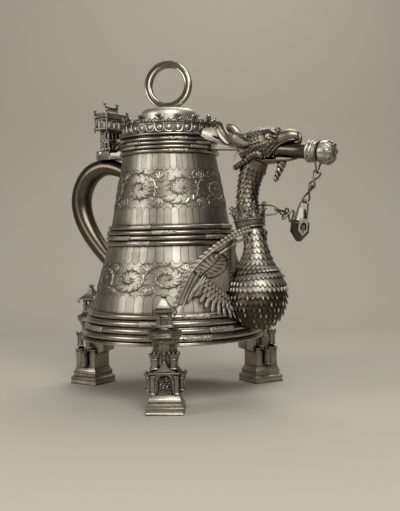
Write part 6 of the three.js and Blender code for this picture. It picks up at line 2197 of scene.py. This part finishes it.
    def collar_chain(self) -> None:
        """The staple on the crown and the two links that lead to the shackle."""
        end, z = self.staple
        line = [
            (122, z + 4.6), (132, z + 5), (143, z + 4.4), (end - 1, z + 1), (end, z - 3), (end - 5, z - 6),
            (132, z - 6.4), (122, z - 6.4)]
        wire(upright(line), 1.1, 10, count=60).piece(
            "collar_loop", Body.VESSEL, WIRE, "collar_staple")
        start, stop = Vector((end - 0.2, 0, z - 2)), Vector((self.chain_end[0], 0, self.chain_end[1]))
        way = (stop - start).normalized()
        meet = start.lerp(stop, 0.46)
        self.link(start - way * self.hook, meet + way * self.hook / 2, Vector((0, 1, 0)), 10.0, 1.25).piece(
            "figure_eight_3", Body.COLLAR_LINK, WIRE, "collar_link_1")
        self.link(meet - way * self.hook / 2, stop - way * 0.4, Vector((0, 0, 1)), 13.0, 1.15).piece(
            "figure_eight_4", Body.END_LINK, WIRE, "collar_link_2")


@dataclass
class Room:
    """The pale floor, the backdrop, the lamps and the camera."""

    camera_turn: float = 33.923
    camera_away: float = 1067.83
    camera_height: float = 198.878
    camera_pitch: float = 0.027
    camera_yaw: float = 0.034
    camera_roll: float = -0.017
    lens_mm: float = 59.57
    world_colour: str = "#b1aca2"
    world_strength: float = 0.34
    floor_colour: str = "#aea89c"
    lit_height: float = 0.2

    def build(self) -> None:
        """Makes everything that isn't the carafe."""
        self.floor()
        self.lamps()
        self.camera()
        world = bpy.data.worlds.new("studio")
        bpy.context.scene.world = world
        world.use_nodes = True
        background = world.node_tree.nodes["Background"]
        background.inputs["Color"].default_value = linear(self.world_colour)
        background.inputs["Strength"].default_value = self.world_strength
        bpy.context.scene.view_settings.view_transform = "Standard"

    def floor(self) -> None:
        """A floor that curves up into a backdrop, in one plain pale colour, and clear from behind."""
        mesh_form = Form()
        bm = mesh_form.bm
        bend = [(0.7 + r, z + 0.5) for r, z in arc((0, 0), (0.5, 0.5), -90, 0, 9)]
        verts = [bm.verts.new((-3.0, y, z)) for y, z in ((-2.6, 0), (0.7, 0), *bend, (1.2, 3.0))]
        edges = [bm.edges.new(pair) for pair in zip(verts, verts[1:])]
        grown = bmesh.ops.extrude_edge_only(bm, edges=edges)["geom"]
        bmesh.ops.translate(bm, vec=(6.0, 0, 0), verts=vertices(grown))
        mesh_form.move(spin_about("Z", self.camera_turn))
        mesh_form.outward()
        if max(bm.faces, key=lambda face: abs(face.normal.z)).normal.z < 0:
            bmesh.ops.reverse_faces(bm, faces=bm.faces)
        mesh = bpy.data.meshes.new("floor")
        bm.to_mesh(mesh)
        mesh.shade_smooth()
        material = bpy.data.materials.new("pale_paper")
        material.use_nodes = True
        shader = material.node_tree.nodes["Principled BSDF"]
        shader.inputs["Base Color"].default_value = linear(self.floor_colour)
        shader.inputs["Roughness"].default_value = 0.9
        tree = material.node_tree
        behind = add_node(tree, "NewGeometry").outputs["Backfacing"]
        clear = add_node(tree, "BsdfTransparent").outputs[0]
        shown = add_node(tree, "MixShader", behind, shader.outputs[0], clear).outputs[0]
        tree.links.new(shown, tree.nodes["Material Output"].inputs["Surface"])
        mesh.materials.append(material)
        floor = bpy.data.objects.new("floor", mesh)
        show(floor)

    def lamps(self) -> None:
        """Three soft boxes: a broad one in front, one at the left and one above."""
        for name, turn, lift, away, size, power in (
            ("front_box", 10.0, 38.0, 1.5, 0.9, 19.0),
            ("left_box", -62.0, 20.0, 1.5, 0.7, 8.0),
            ("top_box", 150.0, 62.0, 1.4, 0.8, 10.0),
        ):
            lamp = bpy.data.lights.new(name, "AREA")
            lamp.size = size
            lamp.energy = power
            obj = bpy.data.objects.new(name, lamp)
            a, e = math.radians(self.camera_turn + turn), math.radians(lift)
            back = Vector((math.sin(a) * math.cos(e), -math.cos(a) * math.cos(e), math.sin(e)))
            obj.location = Vector((AXIS_X, 0, self.lit_height)) + back * away
            obj.rotation_euler = (-back).to_track_quat("-Z", "Y").to_euler()
            show(obj)

    def swung(self, first: Vector, second: Vector, angle: float) -> tuple[Vector, Vector]:
        """Turns two square vectors in their own plane, the first towards the second."""
        return (first * math.cos(angle) + second * math.sin(angle),
                second * math.cos(angle) - first * math.sin(angle))

    def camera(self) -> None:
        """The camera where the photographer stood."""
        a = math.radians(self.camera_turn)
        up = Vector((0, 0, 1))
        ahead = Vector((-math.sin(a), math.cos(a), 0))
        right = Vector((math.cos(a), math.sin(a), 0))
        ahead, right = self.swung(ahead, right, self.camera_yaw)
        ahead, up = self.swung(ahead, up, -self.camera_pitch)
        right, up = self.swung(right, up, self.camera_roll)
        lens = bpy.data.cameras.new("camera")
        lens.lens = self.lens_mm
        lens.sensor_width = 36
        lens.clip_start = 0.05
        camera = bpy.data.objects.new("camera", lens)
        place = facing(Vector(), right, up)
        place.col[2][:3] = -ahead
        away = self.camera_away * MM
        place.translation = (AXIS_X + math.sin(a) * away, -math.cos(a) * away, self.camera_height * MM)
        camera.matrix_world = place
        show(camera)
        bpy.context.scene.camera = camera


def dress_bare_nodes() -> None:
    """Gives each frame node that no piece stands for the silver of its own slot."""
    by_slot = {"raised_silver": SMOOTH, "band_silver": POLISHED, "cast_silver": CAST, "chain_silver": WIRE}
    slots = {row["node"]: row["material_slot"] for row in frame["record"]["subparts"]}
    for node, obj in frame["nodes"].items():
        if obj.hide_render:
            continue
        material = by_slot[slots[node]].material()
        if obj.material_slots:
            for held in obj.material_slots:
                held.material = material
        else:
            obj.data.materials.append(material)
        log.info("%s keeps its own shape", node)


def main() -> None:
    """Builds the carafe sub-assembly by sub-assembly."""
    logging.basicConfig(level=logging.INFO, format="%(name)s: %(message)s")
    Room().build()
    feet = [GateFoot(number, degrees) for number, degrees in ((1, 180.0), (2, -60.0), (3, 60.0))]
    for assembly in (Vessel(), *feet, Handle(), Lid(), HingeTower(), Dragon(), Spout()):
        assembly.build()
    dress_bare_nodes()


if __name__ == "__main__":
    main()
